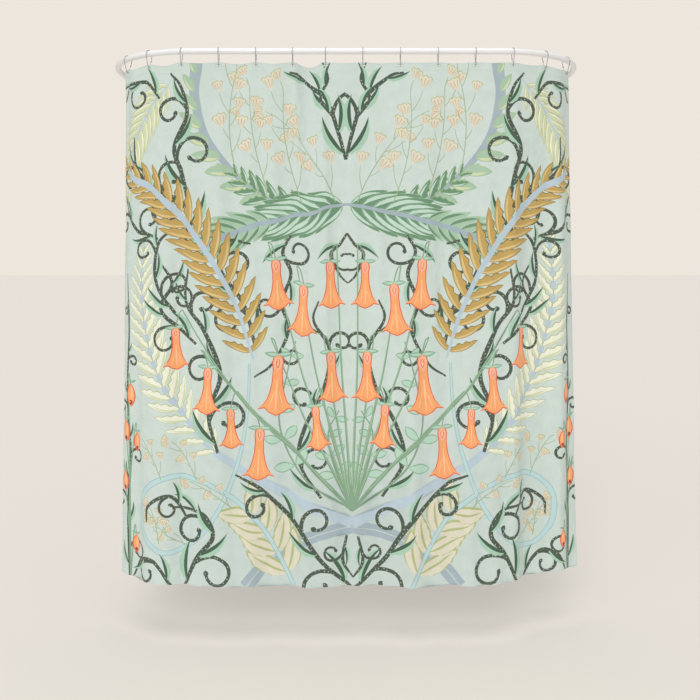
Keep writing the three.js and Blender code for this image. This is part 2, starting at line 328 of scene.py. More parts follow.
# Enamel over a cast skin: a little duller than on the tube, with a grain of about 1.4 mm.
cast_grain = 1.43 * MM
cast_enamel, tree, shader = new_material("enamelled_zinc_casting")
shader.inputs["Base Color"].default_value = linear("#EFECE6")
shader.inputs["Coat Weight"].default_value = 0.2
shader.inputs["Coat Roughness"].default_value = 0.2
place = node(tree, "ShaderNodeTexCoord")
skin = node(tree, "ShaderNodeTexNoise", {"Vector": place.outputs["Object"], "Scale": 1 / cast_grain,
                                        "Detail": 3.0})
matt = node(tree, "ShaderNodeMapRange", {"Value": skin.outputs["Fac"], "To Min": 0.3, "To Max": 0.44})
tree.links.new(matt.outputs["Result"], shader.inputs["Roughness"])
dip = node(tree, "ShaderNodeBump", {"Height": skin.outputs["Fac"], "Strength": 0.12, "Distance": 0.0003})
tree.links.new(dip.outputs["Normal"], shader.inputs["Normal"])

fit_gap = 0.3 * MM
plate_depth = 4 * MM
back_wall = 3 * MM
socket_radius = tube_radius + fit_gap + 4 * MM
bore_edge, mouth_edge, foot_fillet, rim_edge = 0.8 * MM, 1.4 * MM, 4 * MM, 2.4 * MM
for side in ("left", "right"):
    low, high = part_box(f"{side}_wall_flange")
    centre = Vector(((low.x + high.x) / 2, high.y, 0.0))
    radius = (high.x - low.x) / 2
    depth = high.y - low.y
    bore = tube_radius + fit_gap
    foot, rim = (socket_radius, -plate_depth), (radius, -plate_depth)
    profile = ([(0, -back_wall), (bore, -back_wall)]
               + rounded((bore, -depth), (bore, 0), (socket_radius, -depth), bore_edge)
               + rounded((socket_radius, -depth), (bore, -depth), (socket_radius, 0), mouth_edge)
               + rounded(foot, (socket_radius, -depth), rim, foot_fillet)
               + rounded(rim, (0, -plate_depth), (radius, 0), rim_edge)
               + [(radius, 0), (0, 0)])
    flange = turned(f"flange_casting_{side}", profile, centre, 72, cast_enamel)
    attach(flange, "root")
    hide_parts(f"{side}_wall_flange")


# ---- Screws and sleeves ------------------------------------------------------------------------------------
# Three round-headed cross-slot screws hold each flange to the wall, and hexagon-socket grub screws hold the
# tubes. A rolled sleeve joins each leg to the bent tube from inside.

# Bright zinc plate on drawn steel: a cool grey metal with fine marks along its length.
mark_width, mark_length = 0.556 * MM, 16.7 * MM
zinc_plate, tree, shader = new_material("zinc_plated_steel")
shader.inputs["Base Color"].default_value = linear("#B9BBBC")
shader.inputs["Metallic"].default_value = 1.0
place = node(tree, "ShaderNodeTexCoord")
marks = (1 / mark_width, 1 / mark_length, 1 / mark_width)
along = node(tree, "ShaderNodeMapping", {"Vector": place.outputs["Object"], "Scale": marks})
drawn = node(tree, "ShaderNodeTexNoise", {"Vector": along.outputs["Vector"], "Scale": 1.0, "Detail": 2.0})
matt = node(tree, "ShaderNodeMapRange", {"Value": drawn.outputs["Fac"], "To Min": 0.26, "To Max": 0.48})
tree.links.new(matt.outputs["Result"], shader.inputs["Roughness"])
dip = node(tree, "ShaderNodeBump", {"Height": drawn.outputs["Fac"], "Strength": 0.15, "Distance": 0.0001})
tree.links.new(dip.outputs["Normal"], shader.inputs["Normal"])


def prism(name, outline, axis, low, high):
    """A straight-sided tool for a recess: an outline pushed along the Y or the Z axis."""
    place = (lambda a, b, c: (a, c, b)) if axis == "Y" else (lambda a, b, c: (a, b, c))
    verts = [place(a, b, c) for c in (low, high) for a, b in outline]
    count = len(outline)
    faces = [tuple(range(count)), tuple(range(2 * count - 1, count - 1, -1))]
    faces += [(i, count + i, count + (i + 1) % count, (i + 1) % count) for i in range(count)]
    made = new_piece(name, verts, faces, zinc_plate, smooth=False)
    shape = bmesh.new()
    shape.from_mesh(made.data)
    bmesh.ops.recalc_face_normals(shape, faces=shape.faces)
    shape.to_mesh(made.data)
    shape.free()
    return made


def recessed(piece, tool):
    """Cuts a recess in a piece with a tool, which is used up."""
    modifier = piece.modifiers.new("recess", "BOOLEAN")
    modifier.object = tool
    modifier.solver = "EXACT"
    bpy.context.view_layer.update()
    plain = bpy.data.meshes.new_from_object(piece.evaluated_get(bpy.context.evaluated_depsgraph_get()))
    piece.modifiers.remove(modifier)
    piece.data = plain
    bpy.data.objects.remove(tool)


def copies_tree():
    """A copy of one small part on every point, made real."""
    tree = bpy.data.node_groups.new("part_on_every_point", "GeometryNodeTree")
    interface_input(tree, "Geometry", "NodeSocketGeometry", None)
    interface_input(tree, "Part", "NodeSocketObject", None)
    interface_input(tree, "Turn", "NodeSocketFloat", 0.0)
    interface_input(tree, "Material", "NodeSocketMaterial", None)
    tree.interface.new_socket("Geometry", in_out="OUTPUT", socket_type="NodeSocketGeometry")
    given = node(tree, "NodeGroupInput")
    part = node(tree, "GeometryNodeObjectInfo", {"Object": given.outputs["Part"]})
    index = node(tree, "GeometryNodeInputIndex")
    turn = node(tree, "ShaderNodeMath", {0: index.outputs["Index"], 1: given.outputs["Turn"]},
                operation="MULTIPLY")
    angles = node(tree, "ShaderNodeCombineXYZ", {"Y": turn.outputs["Value"]})
    copies = node(tree, "GeometryNodeInstanceOnPoints",
                  {"Points": given.outputs["Geometry"], "Instance": part.outputs["Geometry"],
                   "Rotation": angles.outputs["Vector"]})
    real = node(tree, "GeometryNodeRealizeInstances", {"Geometry": copies.outputs["Instances"]})
    dressed = node(tree, "GeometryNodeSetMaterial",
                   {"Geometry": real.outputs["Geometry"], "Material": given.outputs["Material"]})
    result = node(tree, "NodeGroupOutput")
    tree.links.new(dressed.outputs["Geometry"], result.inputs["Geometry"])
    return tree


part_on_points = copies_tree()
screw_low, screw_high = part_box("wall_screw_left_1")
head_radius = (screw_high.x - screw_low.x) / 2
head_depth = 2.4 * MM
head_land = 0.2 * MM
head_turn = 0.6
head_back = -(plate_depth + fit_gap)
shank_radius = 2 * MM
dome_steps = 7
dome = [(head_radius * math.sin(a), head_back - head_depth * math.cos(a) - head_land)
        for a in (math.pi / 2 * i / dome_steps for i in range(1, dome_steps + 1))]
profile = ([(0, head_back - head_depth - head_land)] + dome
           + [(head_radius, head_back), (shank_radius, head_back), (shank_radius, -fit_gap), (0, -fit_gap)])
wall_screw = turned("wall_screw", profile, Vector((0, 0, 0)), 28, zinc_plate)
arm, arm_end = 0.5 * MM, 2.3 * MM
cross = [(arm, arm), (arm, arm_end), (-arm, arm_end), (-arm, arm), (-arm_end, arm), (-arm_end, -arm),
         (-arm, -arm), (-arm, -arm_end), (arm, -arm_end), (arm, -arm), (arm_end, -arm), (arm_end, arm)]
cross_floor = head_back - 1.0 * MM
recessed(wall_screw, prism("cross_recess", cross, "Y", head_back - 2 * head_depth, cross_floor))
for side in ("left", "right"):
    boxes = [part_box(f"wall_screw_{side}_{i}") for i in (1, 2, 3)]
    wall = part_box(f"{side}_wall_flange")[1].y
    points = [((low.x + high.x) / 2, wall, (low.z + high.z) / 2) for low, high in boxes]
    screws = from_tree(f"wall_screws_{side}", part_on_points, points, [],
                       Part=wall_screw, Turn=head_turn, Material=zinc_plate)
    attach(screws, "root")
    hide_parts(*[f"wall_screw_{side}_{i}" for i in (1, 2, 3)])
bpy.data.objects.remove(wall_screw)

key_radius = 1.2 * MM
key_depth = 2 * MM
grub_edge = 0.3 * MM
hexagon = [(key_radius * math.cos(math.pi / 3 * i), key_radius * math.sin(math.pi / 3 * i)) for i in range(6)]
grub_nodes = ([f"joiner_screw_{side}_{i}" for side in ("left", "right") for i in (1, 2)]
              + [f"flange_grub_screw_{side}" for side in ("left", "right")])
for name in grub_nodes:
    low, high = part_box(name)
    radius = (high.x - low.x) / 2
    length = high.z - low.z
    middle = (low + high) / 2
    profile = [(0, -length / 2), (radius - grub_edge, -length / 2), (radius, -length / 2 + grub_edge),
               (radius, length / 2 - grub_edge), (radius - grub_edge, length / 2), (0, length / 2)]
    grub = turned(f"{name}_hex", profile, Vector((0, 0, 0)), 24, zinc_plate)
    grub.data.transform(Matrix.Rotation(math.radians(90), 4, "X"))
    recessed(grub, prism("hexagon_recess", hexagon, "Z", -length, -length / 2 + key_depth))
    grub.data.transform(Matrix.Translation(middle))
    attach(grub, "root")
    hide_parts(name)

for side in ("left", "right"):
    sleeve = frame["nodes"][f"rail_joiner_{side}"]
    sleeve.data.materials.clear()
    sleeve.data.materials.append(zinc_plate)


# ---- Rings -------------------------------------------------------------------------------------------------
# Fourteen pear-shaped rings of 2.4 mm steel wire, each bent round a former, with a hooked end that snaps into
# an eye at the back. Each passes through its buttonhole and over the rail.

# Bright chromium plate: it mirrors the room, so it looks pale in front of the rail and dark against the wall.
wear_size = 3.85 * MM
chromed_wire, tree, shader = new_material("chromium_plated_wire")
shader.inputs["Base Color"].default_value = linear("#B4B1B3")
shader.inputs["Metallic"].default_value = 1.0
place = node(tree, "ShaderNodeTexCoord")
wear = node(tree, "ShaderNodeTexNoise", {"Vector": place.outputs["Object"], "Scale": 1 / wear_size,
                                        "Detail": 2.0})
matt = node(tree, "ShaderNodeMapRange", {"Value": wear.outputs["Fac"], "To Min": 0.1, "To Max": 0.24})
tree.links.new(matt.outputs["Result"], shader.inputs["Roughness"])

ring_names = [f"hook_{i:02d}" for i in range(1, 15)]
wire_radius = 1.2 * MM
wire_sides = 12
top_radius = tube_radius + 5 * MM
top_z = tube_radius + fit_gap + wire_radius - top_radius
bight_radius = 5 * MM
bight_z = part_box("hook_07")[0].z + wire_radius + bight_radius
lean = math.asin((top_radius - bight_radius) / (top_z - bight_z))
snap_share = 0.3


def arc(middle_z, radius, first, last, steps):
    """Places on an arc in the ring's own plane, across the rail."""
    return [Vector((0, radius * math.cos(a), middle_z + radius * math.sin(a)))
            for a in (first + (last - first) * i / steps for i in range(steps + 1))]


def ring_route():
    """The wire's line, from its hooked end over the rail and through the cloth to its eye."""
    top = arc(top_z, top_radius, -lean, math.pi + lean, 28)
    bight = arc(bight_z, bight_radius, math.pi + lean, 2 * math.pi - lean, 14)
    snap = top[0].lerp(bight[-1], snap_share)
    down = (bight[-1] - top[0]).normalized()
    out = Vector((0, down.z, -down.y))
    # The hook and the eye are drawn as multiples of the catch's size.
    catch = 2.6 * MM
    hook = [snap + down * catch * (1.2 + 0.5 * math.sin(a)) - out * catch * 0.5 * (1 - math.cos(a))
            for a in (math.pi * i / 6 for i in range(6, -1, -1))]
    eye = [snap + down * catch * 1.9 + (out * math.sin(a) - down * math.cos(a)) * catch * 0.62
           + Vector((catch * 0.42 * math.sin(a / 2), 0, 0))
           for a in (2 * math.pi * i / 12 for i in range(1, 11))]
    below = snap + down * catch * 3.4
    return hook + top + bight + [below] + eye


route = ring_route()
ring_distances = []
for name in ring_names:
    low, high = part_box(name)
    x, y = (low.x + high.x) / 2 - rail_middle, (low.y + high.y) / 2 - front_y
    past = abs(x) - front_half
    turn = math.atan2(past, bend_radius - y) if past > 0 else 0.0
    heading = math.copysign(turn, x)
    ring_distances.append(math.copysign(front_half + bend_radius * turn, x) if past > 0 else x)
    placed = Matrix.Translation((rail_middle + x, front_y + y, 0)) @ Matrix.Rotation(heading, 4, "Z")
    wire = from_tree(f"{name}_wire", round_bar, [placed @ p for p in route], chain(len(route)),
                     Radius=wire_radius, Sides=wire_sides, Material=chromed_wire)
    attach(wire, name)
    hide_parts(name)


# ---- Hang of the cloth -------------------------------------------------------------------------------------
# One rectangle of cloth, 1.80 m wide and 1.88 m long, hangs from the rings by its buttonholes. Its top edge
# follows the rail and dips between rings, its hem swings out in its own flatter line, and soft folds run down
# between them. It is placed by formula, then settled by a cloth simulation.
cloth_width = 1.800
cloth_height = 1.880
side_margin = 20 * MM
hole_count = len(ring_names)
hole_pitch = (cloth_width - 2 * side_margin) / (hole_count - 1)
hole_below_top = 12 * MM
hole_length = 18 * MM
hole_height = 4.0 * MM
flat_beside = 12 * MM
sag_share = 0.72      # of a gap's bow, the part that goes into the dip of the top edge
cloth_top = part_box("curtain_middle")[1].z
hem_offset = 26 * MM
hem_ends = {-1: (570 * MM, 250 * MM, math.radians(30)), 1: (430 * MM, 300 * MM, math.radians(26))}
fold_start = 0.35     # of the height, where the folds reach their full depth
fold_waves = ((12.0 * MM, 320 * MM, 0.7, 0.0), (7.6 * MM, 187 * MM, 2.3, 1.1), (3.8 * MM, 98 * MM, 4.0, -0.8))


def plan_lines(straight, radius, turn_all, distance):
    """Places on a line that is straight in front, turns back in an arc and runs on: x, y and heading."""
    past = np.maximum(np.abs(distance) - straight, 0)
    turn = np.minimum(past / radius, turn_all)
    after = np.maximum(past - radius * turn_all, 0)
    side = np.sign(distance)
    x = side * (np.minimum(np.abs(distance), straight) + radius * np.sin(turn) + after * np.cos(turn))
    y = radius * (1 - np.cos(turn)) + after * np.sin(turn)
    return x, y, side * turn


def eased(share):
    """A share that starts and ends gently, and stays between 0 and 1."""
    held = np.clip(share, 0, 1)
    return held ** 2 * (3 - 2 * held)


def hung(across, down):
    """Places of the cloth's middle layer as it is first hung, from its flat places across and down."""
    from_first = (across + cloth_width / 2 - side_margin) / hole_pitch
    gap = np.clip(np.floor(from_first), 0, hole_count - 2).astype(int)
    share = from_first - gap
    rings = np.array(ring_distances)
    gap_length = rings[gap + 1] - rings[gap]
    outside = np.where(share < 0, share, np.where(share > 1, share - 1, 0.0))
    distance = rings[gap] + np.clip(share, 0, 1) * gap_length + outside * hole_pitch
    flat = flat_beside / hole_pitch
    bowed = np.clip((share - flat) / (1 - 2 * flat), 0, 1)
    slack = np.maximum(hole_pitch - gap_length, 0)
    bow = 2 * np.sqrt((gap_length - 2 * flat_beside) * slack) / math.pi / math.hypot(1, sag_share)
    swing = bow * np.sin(math.pi * bowed) * np.where(gap % 2, 1, -1)
    sag = bow * sag_share * np.sin(math.pi * bowed)
    fall = down / cloth_height
    top_x, top_y, top_heading = plan_lines(front_half, bend_radius, math.pi / 2, distance)
    shifted = across + hem_offset
    left = plan_lines(*hem_ends[-1], shifted)
    right = plan_lines(*hem_ends[1], shifted)
    hem_x, hem_y, hem_heading = (np.where(shifted < 0, a, b) for a, b in zip(left, right))
    heading = top_heading + (hem_heading - top_heading) * fall
    folds = sum(depth * np.sin(2 * math.pi * across / spacing + phase + drift * fall)
                for depth, spacing, phase, drift in fold_waves)
    offset = swing * (1 - fall) + folds * eased(fall / fold_start)
    return np.stack([rail_middle + top_x + (hem_x - top_x) * fall - offset * np.sin(heading),
                     front_y + top_y + (hem_y - top_y) * fall + offset * np.cos(heading),
                     cloth_top - sag * (1 - fall) - down], axis=-1)


gap_columns = 12
row_count = 84
columns = np.concatenate([[-cloth_width / 2, -cloth_width / 2 + side_margin / 2],
                          np.linspace(side_margin - cloth_width / 2, cloth_width / 2 - side_margin,
                                      (hole_count - 1) * gap_columns + 1),
                          [cloth_width / 2 - side_margin / 2, cloth_width / 2]])
rows = np.concatenate([[0.0], np.linspace(hole_below_top, cloth_height, row_count)])
drape = hung(columns[None, :], rows[:, None] + 0 * columns[None, :])

tiny = 1e-9
settle_frames = 28
settle_depth = 140 * MM     # below the buttonholes, where the cloth is free to move in full
most_moved = 22 * MM
hem_hold = 0.04


def settled(places):
    """The hung cloth after it has settled in a short cloth simulation, held at its buttonholes."""
    down, across = places.shape[:2]
    quads = [(r * across + c, (r + 1) * across + c, (r + 1) * across + c + 1, r * across + c + 1)
             for r in range(down - 1) for c in range(across - 1)]
    sheet = new_piece("settling_cloth", places.reshape(-1, 3), quads, white_enamel)
    held = sheet.vertex_groups.new(name="held")
    for i in range(hole_count):
        column = 2 + i * gap_columns
        held.add([column, across + column], 1.0, "REPLACE")
    hem_row = [(down - 1) * across + c for c in range(across)]
    held.add(hem_row, hem_hold, "REPLACE")
    cloth = sheet.modifiers.new("cloth", "CLOTH")
    cloth.settings.quality = 7
    cloth.settings.mass = 0.012
    cloth.settings.tension_stiffness = 30
    cloth.settings.compression_stiffness = 18
    cloth.settings.shear_stiffness = 8
    cloth.settings.bending_stiffness = 1.2
    cloth.settings.air_damping = 4
    cloth.settings.vertex_group_mass = "held"
    cloth.settings.pin_stiffness = 1.0
    cloth.collision_settings.use_collision = False
    cloth.collision_settings.use_self_collision = False
    cloth.point_cache.frame_start = 1
    cloth.point_cache.frame_end = settle_frames
    scene = bpy.context.scene
    for number in range(1, settle_frames + 1):
        scene.frame_set(number)
    evaluated = sheet.evaluated_get(bpy.context.evaluated_depsgraph_get())
    moved = np.empty(down * across * 3)
    evaluated.data.vertices.foreach_get("co", moved)
    scene.frame_set(1)
    bpy.data.objects.remove(sheet)
    step = moved.reshape(places.shape) - places
    step *= eased((rows - hole_below_top) / settle_depth)[:, None, None]
    size = np.linalg.norm(step, axis=-1, keepdims=True)
    return places + step * np.minimum(1, most_moved / np.maximum(size, tiny))


drape = settled(drape)


def catmull_rom(share):
    """The four weights of a smooth curve through points at a share of the way, and those of its slope."""
    s = share
    weights = [-s + 2 * s**2 - s**3, 2 - 5 * s**2 + 3 * s**3, s + 4 * s**2 - 3 * s**3, s**3 - s**2]
    slopes = [-1 + 4 * s - 3 * s**2, -10 * s + 9 * s**2, 1 + 8 * s - 9 * s**2, 3 * s**2 - 2 * s]
    return np.stack(weights) / 2, np.stack(slopes) / 2


def on_cloth(across, down):
    """Places and forward normals of the hanging cloth's middle layer, from flat places in metres."""
    across, down = np.asarray(across, float), np.asarray(down, float)
    c = np.clip(np.searchsorted(columns, across, side="right") - 1, 0, len(columns) - 2)
    r = np.clip(np.searchsorted(rows, down, side="right") - 1, 0, len(rows) - 2)
    weight_c, slope_c = catmull_rom((across - columns[c]) / (columns[c + 1] - columns[c]))
    weight_r, slope_r = catmull_rom((down - rows[r]) / (rows[r + 1] - rows[r]))
    place = np.zeros(across.shape + (3,))
    along_c, along_r = np.zeros_like(place), np.zeros_like(place)
    for i in range(4):
        for j in range(4):
            corner = drape[np.clip(r + i - 1, 0, len(rows) - 1), np.clip(c + j - 1, 0, len(columns) - 1)]
            place += corner * (weight_r[i] * weight_c[j])[..., None]
            along_c += corner * (weight_r[i] * slope_c[j])[..., None]
            along_r += corner * (slope_r[i] * weight_c[j])[..., None]
    normal = np.cross(along_r, along_c)
    normal /= np.linalg.norm(normal, axis=-1, keepdims=True)
    return place, normal


# ---- Print -------------------------------------------------------------------------------------------------
# A mirrored garden of ferns, bell flowers and scrolling vines, printed by dye sublimation. It is drawn for
# the right half in millimetres on the flat cloth, across from the middle and down from the top. Each place is
# one complex number, and later shapes lie over earlier ones.
half_width = 900.0
full_height = 1880.0
inks = {
    "ground": "#CDDBD5", "pool": "#C3D1CC", "mist": "#C3D6D0",
    "slate": "#A5B6BE", "sky": "#BACCD7", "teal": "#BCD8DC", "teal_edge": "#9FBDB4",
    "vine": "#4B5B50", "vine_edge": "#7A7062", "leaf_dark": "#47634F", "leaf_pale": "#A9CDB6",
    "ochre": "#C2A35F", "ochre_edge": "#84713F", "ochre_light": "#DCC388",
    "fern": "#6F9576", "fern_edge": "#A9C295", "fern_light": "#C4DDCE", "fern_pale": "#A8C6AB",
    "cream": "#EDEFDC", "cream_edge": "#B3BC85", "lime": "#D2D9B2", "lime_edge": "#B7C294",
    "fan": "#DED9C5", "fan_edge": "#B9BB8C", "fan_ray": "#C8A078", "stem": "#A5B795",
    "sage": "#86A68A", "sage_light": "#A8C4A4", "sprig": "#B7D6C3", "sprig_edge": "#8DB49A",
    "coral": "#FAAA70", "coral_edge": "#E2624A", "coral_light": "#FDC896", "coral_tip": "#F8B9A0",
    "bud_mouth": "#9A4A3A",
}
ink_names = list(inks)
speckled = {"vine"}
least_twice_area = 0.3
print_points = []
print_faces = []
print_inks = []


def strip(left, right, ink):
    """Paints between two lines with the same number of places, as small triangles that all turn one way."""
    first = len(print_points)
    count = len(left)
    print_points.extend(complex(p) for p in left)
    print_points.extend(complex(p) for p in right)
    for i in range(count - 1):
        for a, b, c in ((i, i + 1, count + i + 1), (i, count + i + 1, count + i)):
            pa, pb, pc = (print_points[first + k] for k in (a, b, c))
            twice_area = ((pb - pa).conjugate() * (pc - pa)).imag
            if abs(twice_area) > least_twice_area:
                corners = (a, b, c) if twice_area > 0 else (a, c, b)
                print_faces.append([first + k for k in corners])
                print_inks.append(ink_names.index(ink))


def spline(*points, steps=7):
    """A smooth line through a few places."""
    given = np.array([2 * points[0] - points[1], *points, 2 * points[-1] - points[-2]])
    share = np.arange(steps) / steps
    weights, _ = catmull_rom(share)
    pieces = [sum(weights[k] * given[i + k] for k in range(4)) for i in range(len(points) - 1)]
    return np.concatenate(pieces + [[points[-1]]])


def sideways(line):
    """The unit step to the side of a line at each of its places."""
    step = np.gradient(line)
    return 1j * step / np.maximum(np.abs(step), tiny)


def ribbon(line, first, last, ink, swell=0.0):
    """Paints a stalk of changing width along a line."""
    share = np.linspace(0, 1, len(line))
    half = (first + (last - first) * share + swell * np.sin(math.pi * share)) / 2
    side = sideways(line) * half
    strip(line + side, line - side, ink)


def walk(start, heading, length, turn, steps, hurry=1.0):
    """A line of a given length that turns as it goes, faster towards its end when hurry is above 1."""
    share = (np.arange(steps) + 0.5) / steps
    step = length / steps * np.exp(1j * (heading + turn * share ** hurry))
    return start + np.concatenate([[0], np.cumsum(step)])


def at(line, share):
    """The place and heading of a line at a share of its length."""
    lengths = np.concatenate([[0], np.cumsum(np.abs(np.diff(line)))])
    target = share * lengths[-1]
    place = np.interp(target, lengths, line.real) + 1j * np.interp(target, lengths, line.imag)
    near = min(int(np.searchsorted(lengths, target)), len(line) - 1)
    near = max(near, 1)
    return place, float(np.angle(line[near] - line[near - 1]))


def leaf(start, heading, length, width, ink, bend=0.4, lobes=0, sides=(1, 1), steps=8, fullness=0.8):
    """Paints a bent blade, widest early or late. Lobes scallop the side with the larger share."""
    line = walk(start, heading, length, bend, steps)
    share = np.linspace(0, 1, len(line))
    half = width / 2 * np.sin(math.pi * share ** fullness) ** 0.8
    half[0] = half[-1] = 0
    wavy = half * (0.78 + 0.42 * np.abs(np.sin(lobes * math.pi * share))) if lobes else half
    across = sideways(line)
    left = (wavy if sides[0] >= sides[1] else half) * sides[0]
    right = (wavy if sides[1] > sides[0] else half) * sides[1]
    strip(line + across * left, line - across * right, ink)


def frond(line, first, last, pairs, reach, width, fill, edge, light, lobes=3, spread=1.05, sides=(-1, 1),
          slim=0.5, edge_width=5.0):
    """Paints leaflets in pairs along a stalk, long in the middle and short towards both ends."""
    for i in range(pairs):
        share = i / max(pairs - 1, 1)
        place, heading = at(line, first + (last - first) * share)
        size = reach * (slim + (1 - slim) * math.sin(math.pi * min(0.12 + 0.88 * share, 1) ** 0.9) ** 0.8)
        for side in sides:
            angle = heading + side * (spread - 0.35 * share)
            bend = -side * 0.35
            breadth = width * size / reach
            shares = (0.6, 1.25) if side > 0 else (1.25, 0.6)
            leaf(place, angle, size + edge_width, breadth + edge_width, edge, bend, lobes, shares)
            leaf(place + 2 * np.exp(1j * angle), angle, size, breadth, fill, bend, lobes, shares)
            leaf(place + 6 * np.exp(1j * angle), angle, size * 0.8, breadth * 0.5, light, bend,
                 sides=(1, 0) if side > 0 else (0, 1), steps=5)


def bell(tip, size, lean=0.0):
    """Paints a hanging bell flower from its stalk down: cap, tube and a flared skirt with three points."""
    down = np.exp(1j * (math.pi / 2 + lean))
    across = down / 1j
    stations = np.array([0.0, 0.06, 0.14, 0.3, 0.5, 0.68, 0.82, 0.9])
    halves = np.array([0.03, 0.07, 0.085, 0.07, 0.08, 0.115, 0.165, 0.22])
    skirt_x = np.array([-0.32, -0.2, -0.12, 0.0, 0.12, 0.2, 0.32])
    skirt_y = np.array([0.975, 0.95, 1.02, 1.07, 1.02, 0.95, 0.975])
    waist_x = np.linspace(-0.22, 0.22, 7)
    for grow, ink in ((3.4, "coral_edge"), (0.0, "coral")):
        middle = tip + down * stations * size
        half = halves * size + grow
        strip(middle - across * half, middle + across * half, ink)
        waist = tip + (down * 0.895 + across * waist_x * (1 + grow / size * 2.5)) * size
        lowered = down * (skirt_y + grow / size * 1.1)
        points = tip + (lowered + across * skirt_x * (1 + grow / size * 2.4)) * size
        strip(waist, points, ink)
    for x, first, last, half in ((-0.1, 0.66, 0.97, 0.01), (0.01, 0.45, 1.0, 0.02), (0.11, 0.68, 0.97, 0.01)):
        line = tip + (down * np.linspace(first, last, 4) + across * x * np.linspace(0.4, 1.25, 4)) * size
        ribbon(line, half * size, half * size * 0.6, "coral_light", swell=half * size)
    leaf(tip + down * 0.03 * size, np.angle(down), 0.27 * size, 0.15 * size, "coral_tip", 0, steps=6)
    leaf(tip + down * 0.08 * size, np.angle(down), 0.17 * size, 0.075 * size, "coral_edge", 0, steps=5)
    leaf(tip + down * 0.09 * size, np.angle(down), 0.14 * size, 0.045 * size, "coral_light", 0, steps=5)
    for side in (-1, 1):
        leaf(tip, np.angle(down) + side * 1.45, 0.25 * size, 0.1 * size, "sprig_edge", side * 0.3, steps=5)
        leaf(tip, np.angle(down) + side * 1.45, 0.21 * size, 0.05 * size, "sprig", side * 0.3, steps=5)


def fan(place, heading, size):
    """Paints a fan-shaped seed head with rays, open end outwards."""
    angles = heading + np.linspace(-0.52, 0.52, 7)
    wave = 1 + 0.06 * np.cos(np.linspace(-0.52, 0.52, 7) * 18)
    for grow, ink in ((3.2, "fan_edge"), (0.0, "fan")):
        spread = heading + (angles - heading) * (1 + grow / size)
        inner = place + 0.12 * size * np.exp(1j * spread)
        strip(inner, place + (size * wave + grow) * np.exp(1j * spread), ink)
    for angle in angles[1:-1:2]:
        line = place + size * np.array([0.3, 0.85]) * np.exp(1j * angle)
        ribbon(line, 1.2, 2.6, "fan_ray")


def seed_spray(line, count, reach, size):
    """Paints fans on fine stems, to the left and right of a line in turn."""
    ribbon(line, 4.0, 2.2, "stem")
    for i in range(count):
        place, heading = at(line, 0.12 + 0.86 * i / max(count - 1, 1))
        side = 1 if i % 2 else -1
        angle = heading + side * (0.75 if i < count - 1 else 0.0)
        length = reach * (0.7 + 0.3 * math.cos(2.4 * i))
        twig = walk(place, angle, length, -side * 0.5, 5)
        ribbon(twig, 3.0, 2.2, "stem")
        fan(twig[-1], angle - side * 0.5, size * (0.86 + 0.14 * math.sin(1.7 * i)))


tendril_turn = 5.6


def vine(line, width, curls, blades, size, first_side):
    """Paints a dark speckled vine with curling tendrils and long serrated leaves on alternate sides."""
    ribbon(line, width * 0.6 + 3, width * 0.35 + 2, "vine_edge", swell=width * 0.5)
    ribbon(line, width * 0.6, width * 0.35, "vine", swell=width * 0.5)
    for i in range(curls):
        place, heading = at(line, (i + 0.55) / (curls + 0.35))
        side = first_side * (1 if i % 2 else -1)
        reach = size * (1 - 0.12 * i)
        tendril = walk(place, heading + side * 0.5, reach * 1.9, side * tendril_turn, 20, hurry=1.5)
        ribbon(tendril, width * 0.8 + 2.6, width * 0.6 + 2.6, "vine_edge")
        ribbon(tendril, width * 0.8, width * 0.6, "vine")
        end, angle = at(tendril, 0.97)
        leaf(end - width * 0.6 * np.exp(1j * angle), angle, width * 1.5, width * 1.25, "vine", steps=5)
    for i in range(blades):
        place, heading = at(line, (i + 0.25) / (blades + 0.1))
        side = -first_side * (1 if i % 2 else -1)
        angle = heading + side * 0.75
        length = size * (0.95 - 0.1 * i)
        leaf(place, angle, length, length * 0.24, "leaf_pale", -side * 0.9, lobes=5, steps=11,
             sides=(1, 0.5) if side > 0 else (0.5, 1))
        leaf(place, angle, length * 1.03, length * 0.17, "leaf_dark", -side * 0.9, steps=9,
             sides=(0.15, 1) if side > 0 else (1, 0.15))


def sprig(line, pairs, size):
    """Paints a green stem with pairs of round leaves."""
    ribbon(line, 8.0, 4.0, "sage")
    for i in range(pairs):
        place, heading = at(line, 0.36 + 0.56 * i / max(pairs - 1, 1))
        for side in (-1, 1):
            angle = heading + side * 1.25
            length = size * (1 - 0.1 * i)
            leaf(place, angle, length + 4, length * 0.46 + 4, "sprig_edge", -side * 0.3,
                 steps=7, fullness=1.2)
            leaf(place + 3 * np.exp(1j * angle), angle, length - 2, length * 0.42 - 2, "sprig", -side * 0.3,
                 steps=7, fullness=1.2)


# The frame of the design: broad blue-grey stalks that cross low in the middle, and the arcs above.
root_place = 0 + 1610j
great_stalk = spline(0 + 1655j, 250 + 1545j, 500 + 1385j, 690 + 1150j, 772 + 880j, 765 + 640j, steps=9)
low_stalk = spline(0 + 1668j, 150 + 1700j, 290 + 1780j, 385 + 1880j)
top_arc = spline(120 + 560j, 330 + 470j, 500 + 300j, 560 + 130j, 552 + 0j)
low_fern = spline(0 + 505j, 190 + 545j, 380 + 595j, 560 + 672j)
ochre_stalk = spline(352 + 1065j, 420 + 860j, 540 + 650j, 690 + 480j, 868 + 372j)
corner_stalk = spline(640 + 40j, 740 + 160j, 820 + 300j, 872 + 470j)
loop = spline(210 + 1880j, 330 + 1660j, 480 + 1530j, 650 + 1490j, 765 + 1560j, 770 + 1690j, 690 + 1765j,
              575 + 1725j, 470 + 1590j, 400 + 1400j, 372 + 1220j, 366 + 1080j)

